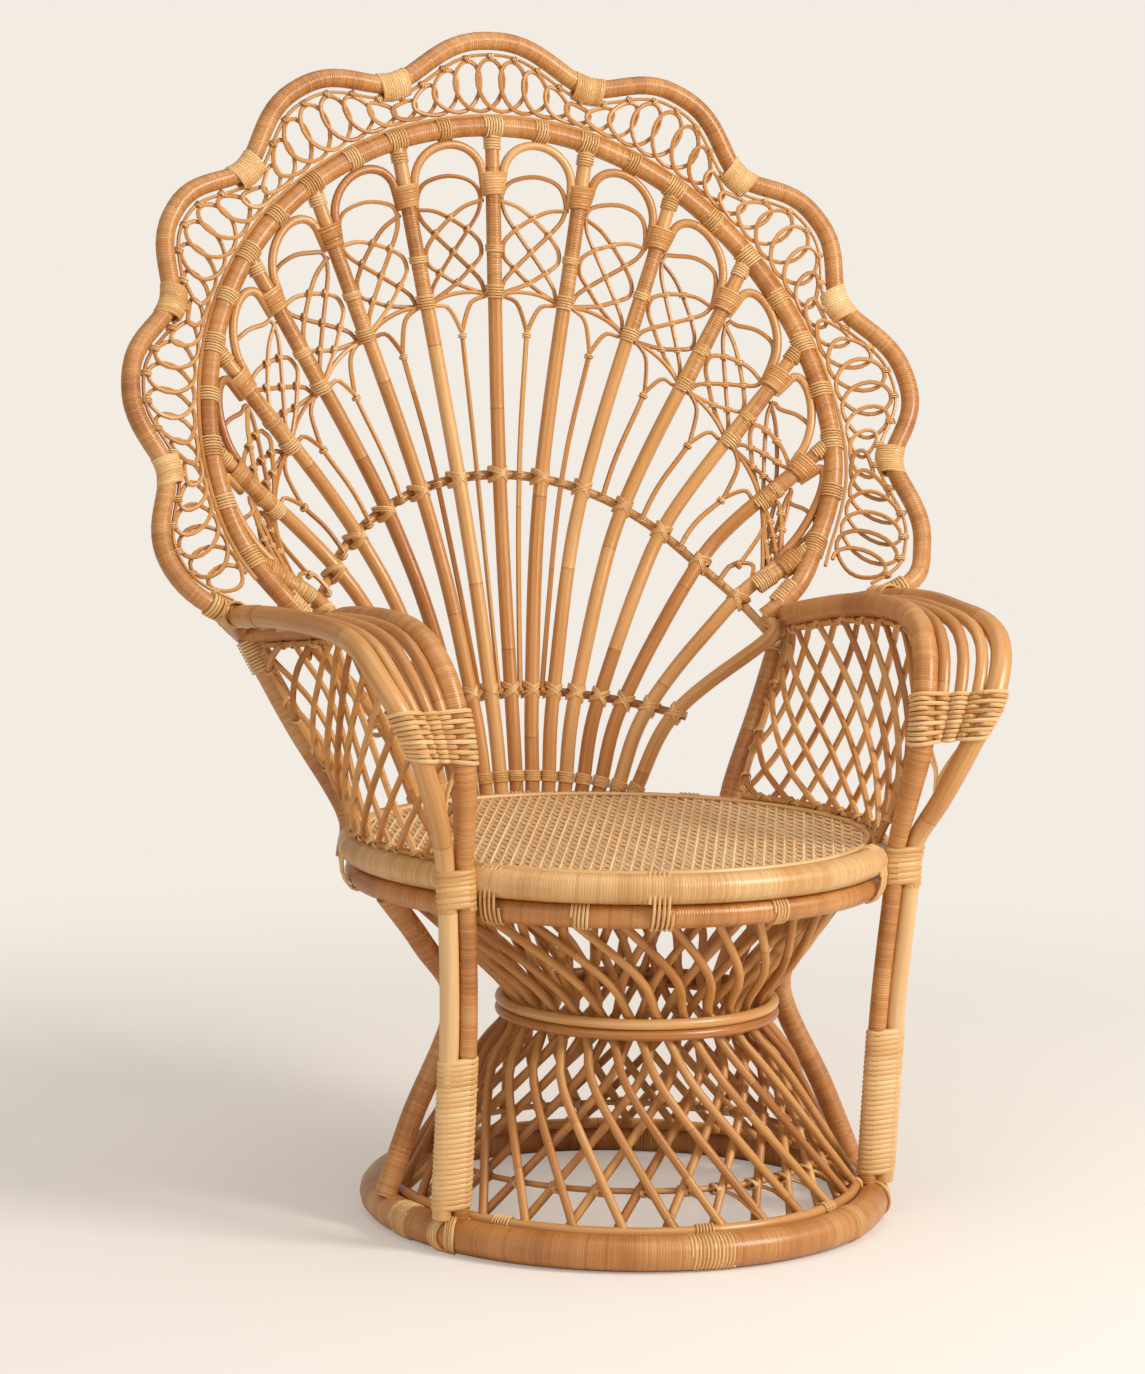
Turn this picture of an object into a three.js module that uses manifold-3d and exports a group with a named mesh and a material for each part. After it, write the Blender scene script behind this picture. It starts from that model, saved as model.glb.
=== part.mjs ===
// Rattan peacock chair, in millimetres, +Z up, the sitter facing -Y.
// A round pedestal of crossed stakes pinched by two waist rings carries a caned seat. Two bent rails
// on each side are armrest and front post in one, and a fan of spokes fills the high hooped back,
// framed by a scalloped cane with a border of lace loops.
import * as THREE from 'three';
import { mergeVertices } from 'three/addons/utils/BufferGeometryUtils.js';
import Module from 'manifold-3d';

const wasm = await Module();
wasm.setup();

// Driving sizes of the pedestal and seat.
const clearance = 0.3;
const seatHeight = 442;
const baseRingRadius = 290;
const baseRingTube = 20;
const footRingTube = 6.5;
const waistHeight = 250;
const waistRadius = 159;
const waistForward = 28;
const waistTube = 6.2;
const seatRingRadius = 309;
const seatRingTube = 17;
const lowerSeatRingInset = 6;
const lowerSeatRingTube = 14;
const seatSetback = 42;
const stakeTube = 5.2;
const stakeLayerGap = 9.9;
const lowerTwistPitch = 5.24;
const upperTwistPitch = 5.46;
const stakeTopSink = 8;
const weaverTube = 3.6;
const weaverHeight = 76;
const panelThickness = 4;
const panelDrop = 4;
const panelOpening = 32;
const panelRim = 13;
const splineTube = 3;
const sideLegTube = 13.5;
const sideLegWaistGap = 28.3;
const sideLegWaistBack = 22;
const sideLegOffset = 10;

// Driving sizes of the arms.
const armReach = 417;
const armRootGap = 70.5;
const armRootBehind = 76;
const armFront = 212;
const armTopHeight = 704;
const railTube = 14.5;
const outerRailTube = 12.5;
const postTube = 10.8;
const postSeatOffset = 24;
const postSeatForward = 157;
const postFootForward = 126;
const postFootOffset = 4;
const postPairStep = 22;
const uprightTube = 14;
const uprightTipRise = 10;
const fillTube = 7.4;
const bandWall = 3.2;
const postBindingHeight = 225;
const postBindingWall = 2.6;
const latticeTube = 3.4;
const latticePitch = 56;
const latticeGap = 0.4;
const borderGap = 0.1;
const panelRootGap = 40;

// Driving sizes of the back.
const backHeight = 1375;
const backLean = 134;
const backCurl = 160;
const hoopCentreHeight = 880;
const hoopHalfWidth = 408;
const hoopRise = 380;
const hoopFall = 315;
const hoopTube = 12;
const frameTube = 11.5;
const frameValleyOffset = 68;
const frameCrestOffset = 106;
const frameEndDrop = 14;
const collarLength = 38;
const collarWall = 4;
const collarReach = 5;
const fanCentreHeight = 510;
const spokeTube = 9;
const spokeFootPitch = 20.4;
const spokeFootSetback = 5;
const crossingGap = 0.8;
const upperArchInset = 8.1;
const upperArchTube = 6;
const lowerArchHeight = 567;
const lowerArchPitch = 27.6;
const lowerArchSag = 28;
const lowerArchTube = 5.5;
const archOverrun = 10;
const petalTube = 5.6;
const collarHalf = 15;
const thinArchRise = 22;
const strandTube = 3;
const strandDrop = 31;
const boundGap = 7.2;
const stakeBehind = 5;
const forkDrop = 46;
const laceTube = 2.8;
const laceEdgeTube = 2.4;
const laceLoopLength = 36;
const laceDepth = 5;
const edgeSeat = 1.1;
const edgeRoom = 0.6;

// Counts and angles in degrees.
const caneSideCount = 6;
const slimSideCount = 4;
const strandSideCount = 3;
const ringSideCount = 8;
const ringSegments = 36;
const armSteps = 20;
const postSteps = 4;
const legSteps = 12;
const uprightSteps = 6;
const panelSteps = 8;
const borderSteps = 5;
const panelOpeningCount = 8;
const stakeCount = 30;
const neckTwistAngle = 2;
const laceEndAngle = 3;
const spokePairCount = 7;
const petalPairCount = 6;
const petalSteps = 7;
const longStakePairCount = 2;
const outerSpokeAngle = 3.72;
const hoopEndAngle = 134;
const uprightFootAngle = 42.03;
const frameEndAngle = 121;
const valleyAngles = [16, 44, 68.5, 94];
const fillCount = 3;
const fillStartSteps = 2;
const upperArchSteps = 22;
const lowerArchSteps = 14;
const hoopSteps = 34;
const lobeSteps = 6;
const loopSteps = 5;
const laceSampleSteps = 200;
const halvingSteps = 40;

// Shares of back height against shares of lean, and of curl at half the hoop's width.
const leanShares = [[0, 0], [0.42, 0.55], [0.87, 0.86], [1, 1]];
const footCurlShare = hoopHalfWidth ** 2 / (2 * seatRingRadius * backCurl);
const curlShares = [
  [0, footCurlShare], [0.2, footCurlShare], [0.27, 1.37], [0.33, 0.95], [0.42, 0.76], [0.6, 0.46],
  [0.8, 0.18], [1, 0.1],
];
// Routes of the two rails from the back of the arm to the seat, as shares of the arm's reach, of its
// length from front to back and of its rise above the seat.
const innerRailShares = [
  [0.873, 1, 0.81], [0.741, 0.771, 0.874], [0.763, 0.541, 0.962], [0.753, 0.308, 1], [0.734, 0.165, 0.962],
  [0.71, 0.093, 0.832], [0.691, 0.063, 0.679], [0.676, 0.048, 0.489], [0.657, 0.066, 0.26],
];
const outerRailShares = [
  [0.873, 1, 0.81], [0.997, 0.771, 0.925], [0.985, 0.51, 0.985], [0.945, 0.29, 0.985], [0.935, 0.13, 0.95],
  [0.915, 0.05, 0.845], [0.855, 0, 0.645], [0.803, 0.011, 0.469], [0.74, 0.045, 0.22],
];
// The woven band's two ends on the bent rails, as shares of the arm's rise above the seat.
const bandShares = [0.687, 0.473];
const legFootShare = 1.75;
// Where a spoke's binding starts and ends, as shares of its length from the fan's centre to the hoop.
const collarShare = 0.906;
const lowerCollarShares = [0.73, 0.73, 0.73, 0.73, 0.75, 0.79, 0.81];
// Where the crossing strands leave one spoke and meet the next, as shares of the bound stretch.
const strandStartShares = [0.12, 0.6];
const strandEndShares = [0.62, 0.97];
const strandBowShare = 0.08;
const archShare = 0.09;
const lobeExponent = 1.25;
const bandCurlShare = 0.66;
const loopWidthShare = 0.55;
const latticeLeanShare = 0.45;
const panelBackShare = 2.2;
// How much wider the fan's middle cells are, and where a spoke's bends and its straight part have points.
const fanEaseShare = 0.04792;
const spokeBendShares = [0, 1 / 3, 1 / 2, 2 / 3];
const spokeStraightShare = 0.409;
// Where the forks bend between their spokes, and how far long and short stakes run on below an arch.
const forkBendShare = 0.3;
const longStakeShare = 0.08;
const shortStakeShare = 0.12;

const degrees = Math.PI / 180;
const v = (x, y, z) => new THREE.Vector3(x, y, z);

// A curve straight from point to point, so that a cane's sections lie where its points are.
class Route extends THREE.Curve {
  constructor(points) {
    super();
    this.points = points;
  }

  getPoint(t, target = new THREE.Vector3()) {
    const last = this.points.length - 1;
    const leg = Math.min(Math.floor(t * last), last - 1);
    return target.lerpVectors(this.points[leg], this.points[leg + 1], t * last - leg);
  }

  getPointAt(u, target) {
    return this.getPoint(u, target);
  }

  getTangentAt(u, target) {
    return this.getTangent(u, target);
  }

  getEvenPoints(steps) {
    const walked = [0];
    this.points.forEach((p, k) => {
      if (k) walked.push(walked[k - 1] + p.distanceTo(this.points[k - 1]));
    });
    const total = walked[walked.length - 1];
    return spread(0, total, steps).map((reach) => {
      const after = walked.findIndex((length) => length >= reach);
      const k = after < 0 ? walked.length - 1 : Math.max(after, 1);
      const share = Math.min((reach - walked[k - 1]) / (walked[k] - walked[k - 1]), 1);
      return this.points[k - 1].clone().lerp(this.points[k], share);
    });
  }
}

function cane(points, radius, sides = caneSideCount) {
  const section = new THREE.Shape();
  for (let i = 0; i < sides; i += 1) {
    const angle = (i + 0.5) * 2 * Math.PI / sides;
    const x = radius * Math.cos(angle);
    const y = radius * Math.sin(angle);
    if (i) section.lineTo(x, y);
    else section.moveTo(x, y);
  }
  const settings = { steps: points.length - 1, bevelEnabled: false, extrudePath: new Route(points) };
  return new THREE.ExtrudeGeometry(section, settings);
}

function smooth(points, steps) {
  return new THREE.CatmullRomCurve3(points, false, 'centripetal').getSpacedPoints(steps);
}

const spread = (from, to, steps) => (
  Array.from({ length: steps + 1 }, (unused, k) => from + (to - from) * k / steps)
);

// The stretch of a curve between two of its knots, as points an equal way apart.
function stretch(curve, from, to, steps) {
  const last = curve.points.length - 1;
  const knots = spread(from / last, to / last, steps * ringSegments).map((t) => curve.getPoint(t));
  return new Route(knots).getEvenPoints(steps);
}

// How far the corners of a ring's section stand from its middle.
const corner = (tube, corners = ringSideCount) => tube / Math.cos(Math.PI / corners);

// A ring lying flat: its section has a flat top and a flat bottom at the tube's radius.
function ring(radius, tube, height, back = 0, sides = ringSideCount) {
  const profile = [];
  for (let i = 0; i <= sides; i += 1) {
    const angle = -(i + 0.5) * 2 * Math.PI / sides;
    const reach = corner(tube, sides);
    profile.push(new THREE.Vector2(radius + reach * Math.sin(angle), reach * Math.cos(angle)));
  }
  profile[sides].copy(profile[0]);
  const geometry = new THREE.LatheGeometry(profile, ringSegments);
  geometry.rotateX(Math.PI / 2);
  geometry.translate(0, back, height);
  return geometry;
}

function solid(geometry) {
  const bare = geometry.clone();
  bare.deleteAttribute('normal');
  bare.deleteAttribute('uv');
  const merged = mergeVertices(bare);
  const vertProperties = merged.attributes.position.array;
  const triVerts = new Uint32Array(merged.index.array);
  return new wasm.Manifold(new wasm.Mesh({ numProp: 3, vertProperties, triVerts }));
}

function joined(geometries) {
  return geometries.map(solid).reduce((whole, piece) => whole.add(piece));
}

// A cane cut to lie against its neighbours, each given with the clearance that it keeps.
function coped(geometry, rooms) {
  const blank = geometry.isBufferGeometry ? solid(geometry) : geometry;
  return rooms.map(solid).reduce((piece, room) => piece.subtract(room), blank);
}

// A route whose two ends run on by a length, for a room that clears its cane's ends too.
function lengthened(points, length) {
  const last = points.length - 1;
  const runOn = (from, to) => to.clone().addScaledVector(to.clone().sub(from).normalize(), length);
  return [runOn(points[1], points[0]), ...points.slice(1, last), runOn(points[last - 1], points[last])];
}

// A closed body through rings of corners, each ring a list of as many points.
function loft(rings) {
  const count = rings[0].length;
  const corners = rings.flat();
  const start = corners.length;
  const middle = (list) => list.reduce((sum, p) => sum.add(p), v(0, 0, 0)).divideScalar(list.length);
  const points = [...corners, middle(rings[0]), middle(rings[rings.length - 1])];
  const faces = [];
  for (let k = 0; k < count; k += 1) {
    const next = (k + 1) % count;
    for (let r = 0; r < rings.length - 1; r += 1) {
      const low = r * count;
      const high = low + count;
      faces.push(low + k, low + next, high + next, low + k, high + next, high + k);
    }
    const top = (rings.length - 1) * count;
    faces.push(start, next, k, start + 1, top + k, top + next);
  }
  let volume = 0;
  for (let f = 0; f < faces.length; f += 3) {
    const [a, b, c] = [points[faces[f]], points[faces[f + 1]], points[faces[f + 2]]];
    volume += a.dot(b.clone().cross(c));
  }
  if (volume < 0) faces.reverse();
  const geometry = new THREE.BufferGeometry().setFromPoints(points);
  geometry.setIndex(faces);
  return geometry;
}

// A binding's outline round two canes that run side by side.
function pairSection(a, b, ahead, reach) {
  const across = b.clone().sub(a).normalize();
  const out = across.clone().cross(ahead).normalize();
  const at = (from, angle) => from.clone()
    .addScaledVector(across, reach * Math.cos(angle * degrees))
    .addScaledVector(out, reach * Math.sin(angle * degrees));
  const [outward, inward] = [[-90, -30, 30, 90], [90, 150, 210, 270]];
  return [...outward.map((angle) => at(b, angle)), ...inward.map((angle) => at(a, angle))];
}

function flipped(geometry) {
  const turned = mergeVertices(geometry.index ? geometry : geometry.clone());
  turned.setIndex([...turned.index.array].reverse());
  return turned;
}

function geometryOf(manifold) {
  const mesh = manifold.asOriginal().simplify(clearance / 6).getMesh();
  const geometry = new THREE.BufferGeometry();
  geometry.setAttribute('position', new THREE.BufferAttribute(mesh.vertProperties, 3));
  geometry.setIndex(new THREE.BufferAttribute(mesh.triVerts, 1));
  return geometry;
}

// The value of a table of [place, value] pairs at a place, joined by a smooth curve.
function along(table, place) {
  const last = table.length - 1;
  let k = 0;
  while (k < last - 1 && place > table[k + 1][0]) k += 1;
  const [x0, y0] = table[k];
  const [x1, y1] = table[k + 1];
  const before = table[Math.max(k - 1, 0)];
  const after = table[Math.min(k + 2, last)];
  const slope0 = (y1 - before[1]) / (x1 - before[0]);
  const slope1 = (after[1] - y0) / (after[0] - x0);
  const t = THREE.MathUtils.clamp((place - x0) / (x1 - x0), 0, 1);
  const span = x1 - x0;
  const rise = y1 - y0;
  return y0 + t * span * slope0 + t * t * (3 * rise - span * (2 * slope0 + slope1))
    + t * t * t * (span * (slope0 + slope1) - 2 * rise);
}

// The back is one curved sheet. x is measured from the middle, z from the floor, and a point can
// stand in front of the sheet or behind it along the sheet's own normal.
const sheetFoot = seatSetback + seatRingRadius + spokeFootSetback;

function sheetDepth(x, z) {
  const share = (z - seatHeight) / (backHeight - seatHeight);
  const middle = sheetFoot + backLean * along(leanShares, share);
  return middle - backCurl * along(curlShares, share) * (x / hoopHalfWidth) ** 2;
}

function onBack(x, z, behind = 0) {
  const tiny = hoopTube / 10;
  const slopeX = (sheetDepth(x + tiny, z) - sheetDepth(x - tiny, z)) / (2 * tiny);
  const slopeZ = (sheetDepth(x, z + tiny) - sheetDepth(x, z - tiny)) / (2 * tiny);
  const normal = v(-slopeX, 1, -slopeZ).normalize();
  return v(x, sheetDepth(x, z), z).addScaledVector(normal, behind);
}

// The hoop's outline on the sheet: two half ellipses, by the angle round their common centre.
function hoopAt(angle, offset = 0) {
  const sine = Math.sin(angle * degrees);
  const cosine = Math.cos(angle * degrees);
  const rise = cosine > 0 ? hoopRise : hoopFall;
  const out = new THREE.Vector2(sine / hoopHalfWidth, cosine / rise).normalize();
  return new THREE.Vector2(
    hoopHalfWidth * sine + out.x * offset,
    hoopCentreHeight + rise * cosine + out.y * offset,
  );
}

const hoopEnd = hoopAt(hoopEndAngle);

const model = new THREE.Group();

const tones = {
  wrap: { color: 0xc98f4e, roughness: 0.5 },
  cane: { color: 0xd9a868, roughness: 0.4 },
  pale: { color: 0xe2c393, roughness: 0.55 },
  thin: { color: 0xcf9a5c, roughness: 0.5 },
};

function add(name, shape, tone) {
  const geometry = shape.isBufferGeometry ? shape : geometryOf(shape);
  const material = new THREE.MeshStandardMaterial({ ...tones[tone], metalness: 0 });
  const mesh = new THREE.Mesh(geometry, material);
  mesh.name = name;
  model.add(mesh);
  return mesh;
}

const sides = [['left', -1], ['right', 1]];
const mirrored = (points, side) => points.map((p) => v(p.x * side, p.y, p.z));

// Pedestal: base ring on the floor, crossed stakes, weaver, waist rings and side legs.
const footRingStep = (baseRingTube + corner(footRingTube, slimSideCount) + clearance) * Math.SQRT1_2;
const footRingHeight = baseRingTube + footRingStep;
const footRingRadius = baseRingRadius - footRingStep;
const seatRingHeight = seatHeight - seatRingTube;
const lowerSeatRingRadius = seatRingRadius - lowerSeatRingInset;
const lowerSeatRingHeight = seatRingHeight - seatRingTube - lowerSeatRingTube - clearance;
const stakeTopRadius = lowerSeatRingRadius - lowerSeatRingTube - stakeTube - 2 * clearance;
const waistFlat = waistRadius * Math.cos(Math.PI / ringSegments);
const stakeWaistRadius = waistFlat - waistTube - stakeTube - 2 * clearance;
const neckReach = 2 * waistTube + clearance + stakeTube / 2;
const stakeLayerStep = 2 * stakeTube + stakeLayerGap;

const baseRoom = ring(baseRingRadius, baseRingTube + clearance, baseRingTube);
const lowerSeatRing = (tube) => ring(lowerSeatRingRadius, tube, lowerSeatRingHeight, seatSetback);
const lowerSeatRoom = lowerSeatRing(lowerSeatRingTube + clearance);

add('base_ring', ring(baseRingRadius, baseRingTube, baseRingTube), 'wrap');

// The stakes lean one way outside and the other way inside, and kink where the waist pulls them in.
// Their turn in degrees grows with their rise, so that a taller or shorter pedestal keeps its slant.
const stakeTopHeight = lowerSeatRingHeight + stakeTopSink;
const lowerTwistAngle = (waistHeight - neckReach - footRingHeight) / lowerTwistPitch;
const upperTwistAngle = (stakeTopHeight - waistHeight - neckReach) / upperTwistPitch;

function stakeFamily(lean, inward) {
  const levels = [
    [footRingRadius - inward, -lean * lowerTwistAngle, 0, footRingHeight],
    [stakeWaistRadius - inward, -lean * neckTwistAngle, -waistForward, waistHeight - neckReach],
    [stakeWaistRadius - inward, lean * neckTwistAngle, -waistForward, waistHeight + neckReach],
    [stakeTopRadius - inward, lean * upperTwistAngle, seatSetback, stakeTopHeight],
  ];
  const stakes = [];
  for (let i = 0; i < stakeCount; i += 1) {
    const points = levels.map(([radius, turn, back, height]) => {
      const angle = (i * 360 / stakeCount + turn) * degrees;
      return v(radius * Math.sin(angle), back - radius * Math.cos(angle), height);
    });
    stakes.push(cane(points, stakeTube, strandSideCount));
  }
  return stakes;
}

const weaverShare = (weaverHeight - footRingHeight) / (waistHeight - footRingHeight);
const weaverRadius = THREE.MathUtils.lerp(footRingRadius, stakeWaistRadius, weaverShare)
  - stakeLayerStep - weaverTube;
const footRing = ring(footRingRadius, footRingTube, footRingHeight, 0, slimSideCount);
const weaver = ring(weaverRadius, weaverTube, weaverHeight, -waistForward * weaverShare, slimSideCount);
add('outer_stakes_with_foot_ring', joined([footRing, ...stakeFamily(-1, 0)]), 'thin');
add('inner_stakes_with_weaver', joined([weaver, ...stakeFamily(1, stakeLayerStep)]), 'thin');
const waistStep = waistTube + clearance / 2;
for (const [name, step] of [['upper', waistStep], ['lower', -waistStep]]) {
  const waistRing = ring(waistRadius, waistTube, waistHeight + step, -waistForward, slimSideCount);
  add(`waist_ring_${name}`, waistRing, 'cane');
}

const legFootHeight = legFootShare * baseRingTube;
const sideLegWaistReach = waistRadius + waistTube + sideLegTube + sideLegWaistGap;
const footRoom = ring(footRingRadius, footRingTube + clearance, footRingHeight, 0, slimSideCount);
for (const [name, side] of sides) {
  const points = [
    v(baseRingRadius + sideLegOffset, 0, legFootHeight),
    v(sideLegWaistReach, sideLegWaistBack, waistHeight),
    v(lowerSeatRingRadius, 0, lowerSeatRingHeight - lowerSeatRingTube / 2),
  ];
  const route = smooth(mirrored(points, side), legSteps);
  add(`side_leg_${name}`, coped(cane(route, sideLegTube), [baseRoom, footRoom, lowerSeatRoom]), 'wrap');
}

// Seat: two wrapped rings, the woven cane panel let into the upper one, and the spline over its edge.
add('seat_ring_upper', ring(seatRingRadius, seatRingTube, seatRingHeight, seatSetback), 'wrap');
add('seat_ring_lower', lowerSeatRing(lowerSeatRingTube), 'wrap');

const panelTop = seatHeight - panelDrop;
const panelRadius = seatRingRadius - panelRim + clearance;
const panelBlank = new THREE.CylinderGeometry(panelRadius, panelRadius, panelThickness, ringSegments);
panelBlank.rotateX(Math.PI / 2);
panelBlank.translate(0, seatSetback, panelTop - panelThickness / 2);
const seatRoom = ring(seatRingRadius, seatRingTube + clearance, seatRingHeight, seatSetback);
const splineHeight = panelTop + splineTube + clearance;
const splineReach = corner(seatRingTube) + corner(splineTube, slimSideCount) + clearance;
const splineRadius = seatRingRadius - Math.sqrt(splineReach ** 2 - (splineHeight - seatRingHeight) ** 2);

// The webbing's holes, as a plain grid of square openings that ends inside the spline.
const panelPitch = 2 * (splineRadius - splineTube) / panelOpeningCount;
const gridPlaces = spread(1 - panelOpeningCount, panelOpeningCount - 1, panelOpeningCount - 1);
const openings = [];
for (const column of gridPlaces) {
  for (const row of gridPlaces) {
    const [x, y] = [column * panelPitch / 2, row * panelPitch / 2];
    const farCorner = Math.hypot(Math.abs(x) + panelOpening / 2, Math.abs(y) + panelOpening / 2);
    if (farCorner > splineRadius - 2 * splineTube) continue;
    const opening = new THREE.BoxGeometry(panelOpening, panelOpening, 2 * panelThickness);
    opening.translate(x, seatSetback + y, panelTop - panelThickness / 2);
    openings.push(opening);
  }
}
add('seat_cane_panel', coped(panelBlank, [seatRoom, ...openings]), 'pale');
add('seat_spline', ring(splineRadius, splineTube, splineHeight, seatSetback, slimSideCount), 'pale');

// Arms: each rail is one cane, thick along the arm and thinner down the front as a post. Both start at
// the root beside the hoop, and the farther back a point lies the more it follows the root.
const rootShares = innerRailShares[0];
const rootHeight = seatHeight + (armTopHeight - seatHeight) * rootShares[2];
const rootDrop = Math.min(hoopCentreHeight - rootHeight, hoopCentreHeight - hoopEnd.y) / hoopFall;
const rootReach = hoopHalfWidth * Math.sqrt(1 - Math.max(rootDrop, 0) ** 2) + armRootGap;
const rootDepth = sheetDepth(hoopEnd.x, hoopEnd.y) + armRootBehind;
const armPoint = ([x, y, z]) => v(
  armReach * x + (rootReach - armReach * rootShares[0]) * y,
  -armFront + (rootDepth + armFront) * y,
  seatHeight + (armTopHeight - seatHeight) * z,
);

function postPoints(step) {
  const seatReach = seatRingRadius + postSeatOffset;
  const seatX = Math.sqrt(seatReach ** 2 - (postSeatForward + seatSetback) ** 2) + step;
  const footReach = Math.sqrt((baseRingRadius + postFootOffset) ** 2 - postFootForward ** 2);
  const footX = footReach - postPairStep / 2 + step;
  const middleX = (seatX + footX) / 2 - postPairStep / 4;
  return [
    v(seatX, -postSeatForward, seatHeight),
    v(seatX - postPairStep / 6, -postSeatForward, lowerSeatRingHeight),
    v(middleX, -(postSeatForward + postFootForward) / 2 - postTube / 3, waistHeight),
    v(footX, -postFootForward, legFootHeight),
  ];
}

// The rail from the arm's back to the seat, and from there down to the base ring.
function railRoutes(shares, step) {
  const knots = [...shares.map(armPoint), ...postPoints(step)];
  const curve = new THREE.CatmullRomCurve3(knots, false, 'centripetal');
  const arm = stretch(curve, 0, shares.length, armSteps);
  arm[0].lerp(arm[1], uprightTube / 2 / arm[0].distanceTo(arm[1]));
  const post = stretch(curve, shares.length, knots.length - 1, postSteps);
  return { arm, post: [arm[armSteps - 1], ...post] };
}

const innerRoutes = railRoutes(innerRailShares, 0);
const outerRoutes = railRoutes(outerRailShares, postPairStep);
const uprightTop = armPoint(rootShares);
const uprightFootReach = seatRingRadius + seatRingTube + uprightTube + 2 * clearance;
const uprightFootX = uprightFootReach * Math.cos(uprightFootAngle * degrees);
const uprightFootY = seatSetback + uprightFootReach * Math.sin(uprightFootAngle * degrees);
const uprightRoute = smooth([
  v(uprightFootX, uprightFootY, lowerSeatRingHeight - lowerSeatRingTube / 2),
  v(uprightFootX, uprightFootY, seatHeight),
  v((uprightFootX + uprightTop.x) / 2, (uprightFootY + uprightTop.y) / 2, (seatHeight + uprightTop.z) / 2),
  v(uprightTop.x, uprightTop.y, uprightTop.z + uprightTipRise),
], uprightSteps);
const seatRooms = [seatRoom, lowerSeatRoom];
const footRooms = [baseRoom, footRoom];

function lerpRoutes(from, to, share, first, last) {
  const points = [];
  for (let k = first; k <= last; k += 1) points.push(from[k].clone().lerp(to[k], share));
  return points;
}

// The point of a rail's front, past its highest point, that lies nearest to a height.
function nearHeight(points, height) {
  const top = points.reduce((best, p, k) => (p.z > points[best].z ? k : best), 0);
  return points.reduce((best, p, k) => (
    k > top && Math.abs(p.z - height) < Math.abs(points[best].z - height) ? k : best
  ), top + 1);
}

// Where a post's route passes a height.
function atHeight(points, height) {
  const k = points.findIndex((p) => p.z < height);
  return points[k - 1].clone().lerp(points[k], (points[k - 1].z - height) / (points[k - 1].z - points[k].z));
}

const bandRooms = new Map();
for (const [name, side] of sides) {
  const inner = mirrored(innerRoutes.arm, side);
  const outer = mirrored(outerRoutes.arm, side);
  const innerPost = mirrored(innerRoutes.post, side);
  const outerPost = mirrored(outerRoutes.post, side);
  const upright = mirrored(uprightRoute, side);
  const uprightRoom = cane(lengthened(upright, railTube), uprightTube + clearance);
  const innerRoom = cane(inner, railTube + clearance);
  const outerRoom = cane(outer, outerRailTube + clearance);
  const innerPostRoom = cane(innerPost, postTube + clearance);
  const outerPostRoom = cane(outerPost, postTube + clearance);
  add(`back_upright_${name}`, coped(cane(upright, uprightTube), seatRooms), 'wrap');
  const innerWhole = joined([cane(inner, railTube), cane(innerPost, postTube)]);
  const outerWhole = joined([cane(outer, outerRailTube), cane(outerPost, postTube)]);
  const shared = [...seatRooms, ...footRooms, uprightRoom];
  add(`inner_rail_${name}`, coped(innerWhole, shared), 'wrap');
  add(`outer_rail_${name}`, coped(outerWhole, [...shared, innerRoom, innerPostRoom]), 'cane');

  // The canes that fill the arm, gathered and held by the woven band.
  const [bandTop, bandEnd] = bandShares.map((share) => (
    nearHeight(inner, seatHeight + (armTopHeight - seatHeight) * share)
  ));
  const ahead = inner[bandEnd].clone().sub(inner[bandTop]).normalize();
  const band = (reach) => loft(spread(bandTop, bandEnd, bandEnd - bandTop).map((k) => (
    pairSection(inner[k], outer[k], ahead, reach)
  )));
  bandRooms.set(side, band(railTube + bandWall + clearance));
  const fills = [];
  for (let i = 1; i <= fillCount; i += 1) {
    const route = lerpRoutes(inner, outer, i / (fillCount + 1), fillStartSteps, bandEnd);
    fills.push(cane(route, fillTube, slimSideCount));
  }
  const weave = joined([band(railTube + bandWall), ...fills]);
  const weaveRooms = [innerRoom, outerRoom, innerPostRoom, outerPostRoom, uprightRoom];
  add(`arm_weave_${name}`, coped(weave, weaveRooms), 'pale');

  // The binding round both canes at the foot of the post.
  const bindingFoot = 2 * (baseRingTube + clearance);
  const bindingSections = spread(postBindingHeight, bindingFoot, slimSideCount).map((height) => {
    const [a, b] = [innerPost, outerPost].map((points) => atHeight(points, height));
    return pairSection(a, b, v(0, 0, -1), postTube + postBindingWall);
  });
  const bindingRooms = [innerPostRoom, outerPostRoom, footRoom, baseRoom];
  add(`post_binding_${name}`, coped(loft(bindingSections), bindingRooms), 'pale');
}

// Side panels: two layers of slanting canes in a border that runs along seat, post, rail and upright.
const panelReach = railTube + latticeTube + borderGap;
const sideways = v(1, 0, 0);

function inset(points, k) {
  const before = points[Math.max(k - 1, 0)];
  const after = points[Math.min(k + 1, points.length - 1)];
  const inward = sideways.clone().cross(after.clone().sub(before)).normalize();
  return points[k].clone().addScaledVector(inward, panelReach);
}

function sample(points, share) {
  const place = THREE.MathUtils.clamp(share, 0, 1) * (points.length - 1);
  const k = Math.min(Math.floor(place), points.length - 2);
  return points[k].clone().lerp(points[k + 1], place - k);
}

const railInset = innerRoutes.arm.map((p, k) => inset(innerRoutes.arm, k));
const bendAt = nearHeight(innerRoutes.arm, armTopHeight - 2 * railTube);
const borderLow = seatHeight + latticeTube * Math.SQRT1_2 + clearance;
const backAngle = uprightFootAngle * degrees - panelBackShare * uprightTube / seatRingRadius;
const frontPoint = railInset[armSteps];
const frontAngle = Math.atan2(frontPoint.y - seatSetback, frontPoint.x) + postTube / seatRingRadius;
const panelBottom = spread(backAngle, frontAngle, panelSteps).map((angle) => (
  v(seatRingRadius * Math.cos(angle), seatSetback + seatRingRadius * Math.sin(angle), borderLow)
));
const topStart = innerRoutes.arm.findIndex((p) => p.y < uprightTop.y - panelRootGap);
const panelTopEdge = railInset.slice(topStart, bendAt + 1);
const clearOfSeat = railInset.slice(bendAt).filter((p) => p.z > seatHeight + panelReach * panelBackShare);
const panelFront = [panelBottom[panelSteps], ...clearOfSeat.reverse()];
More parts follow.
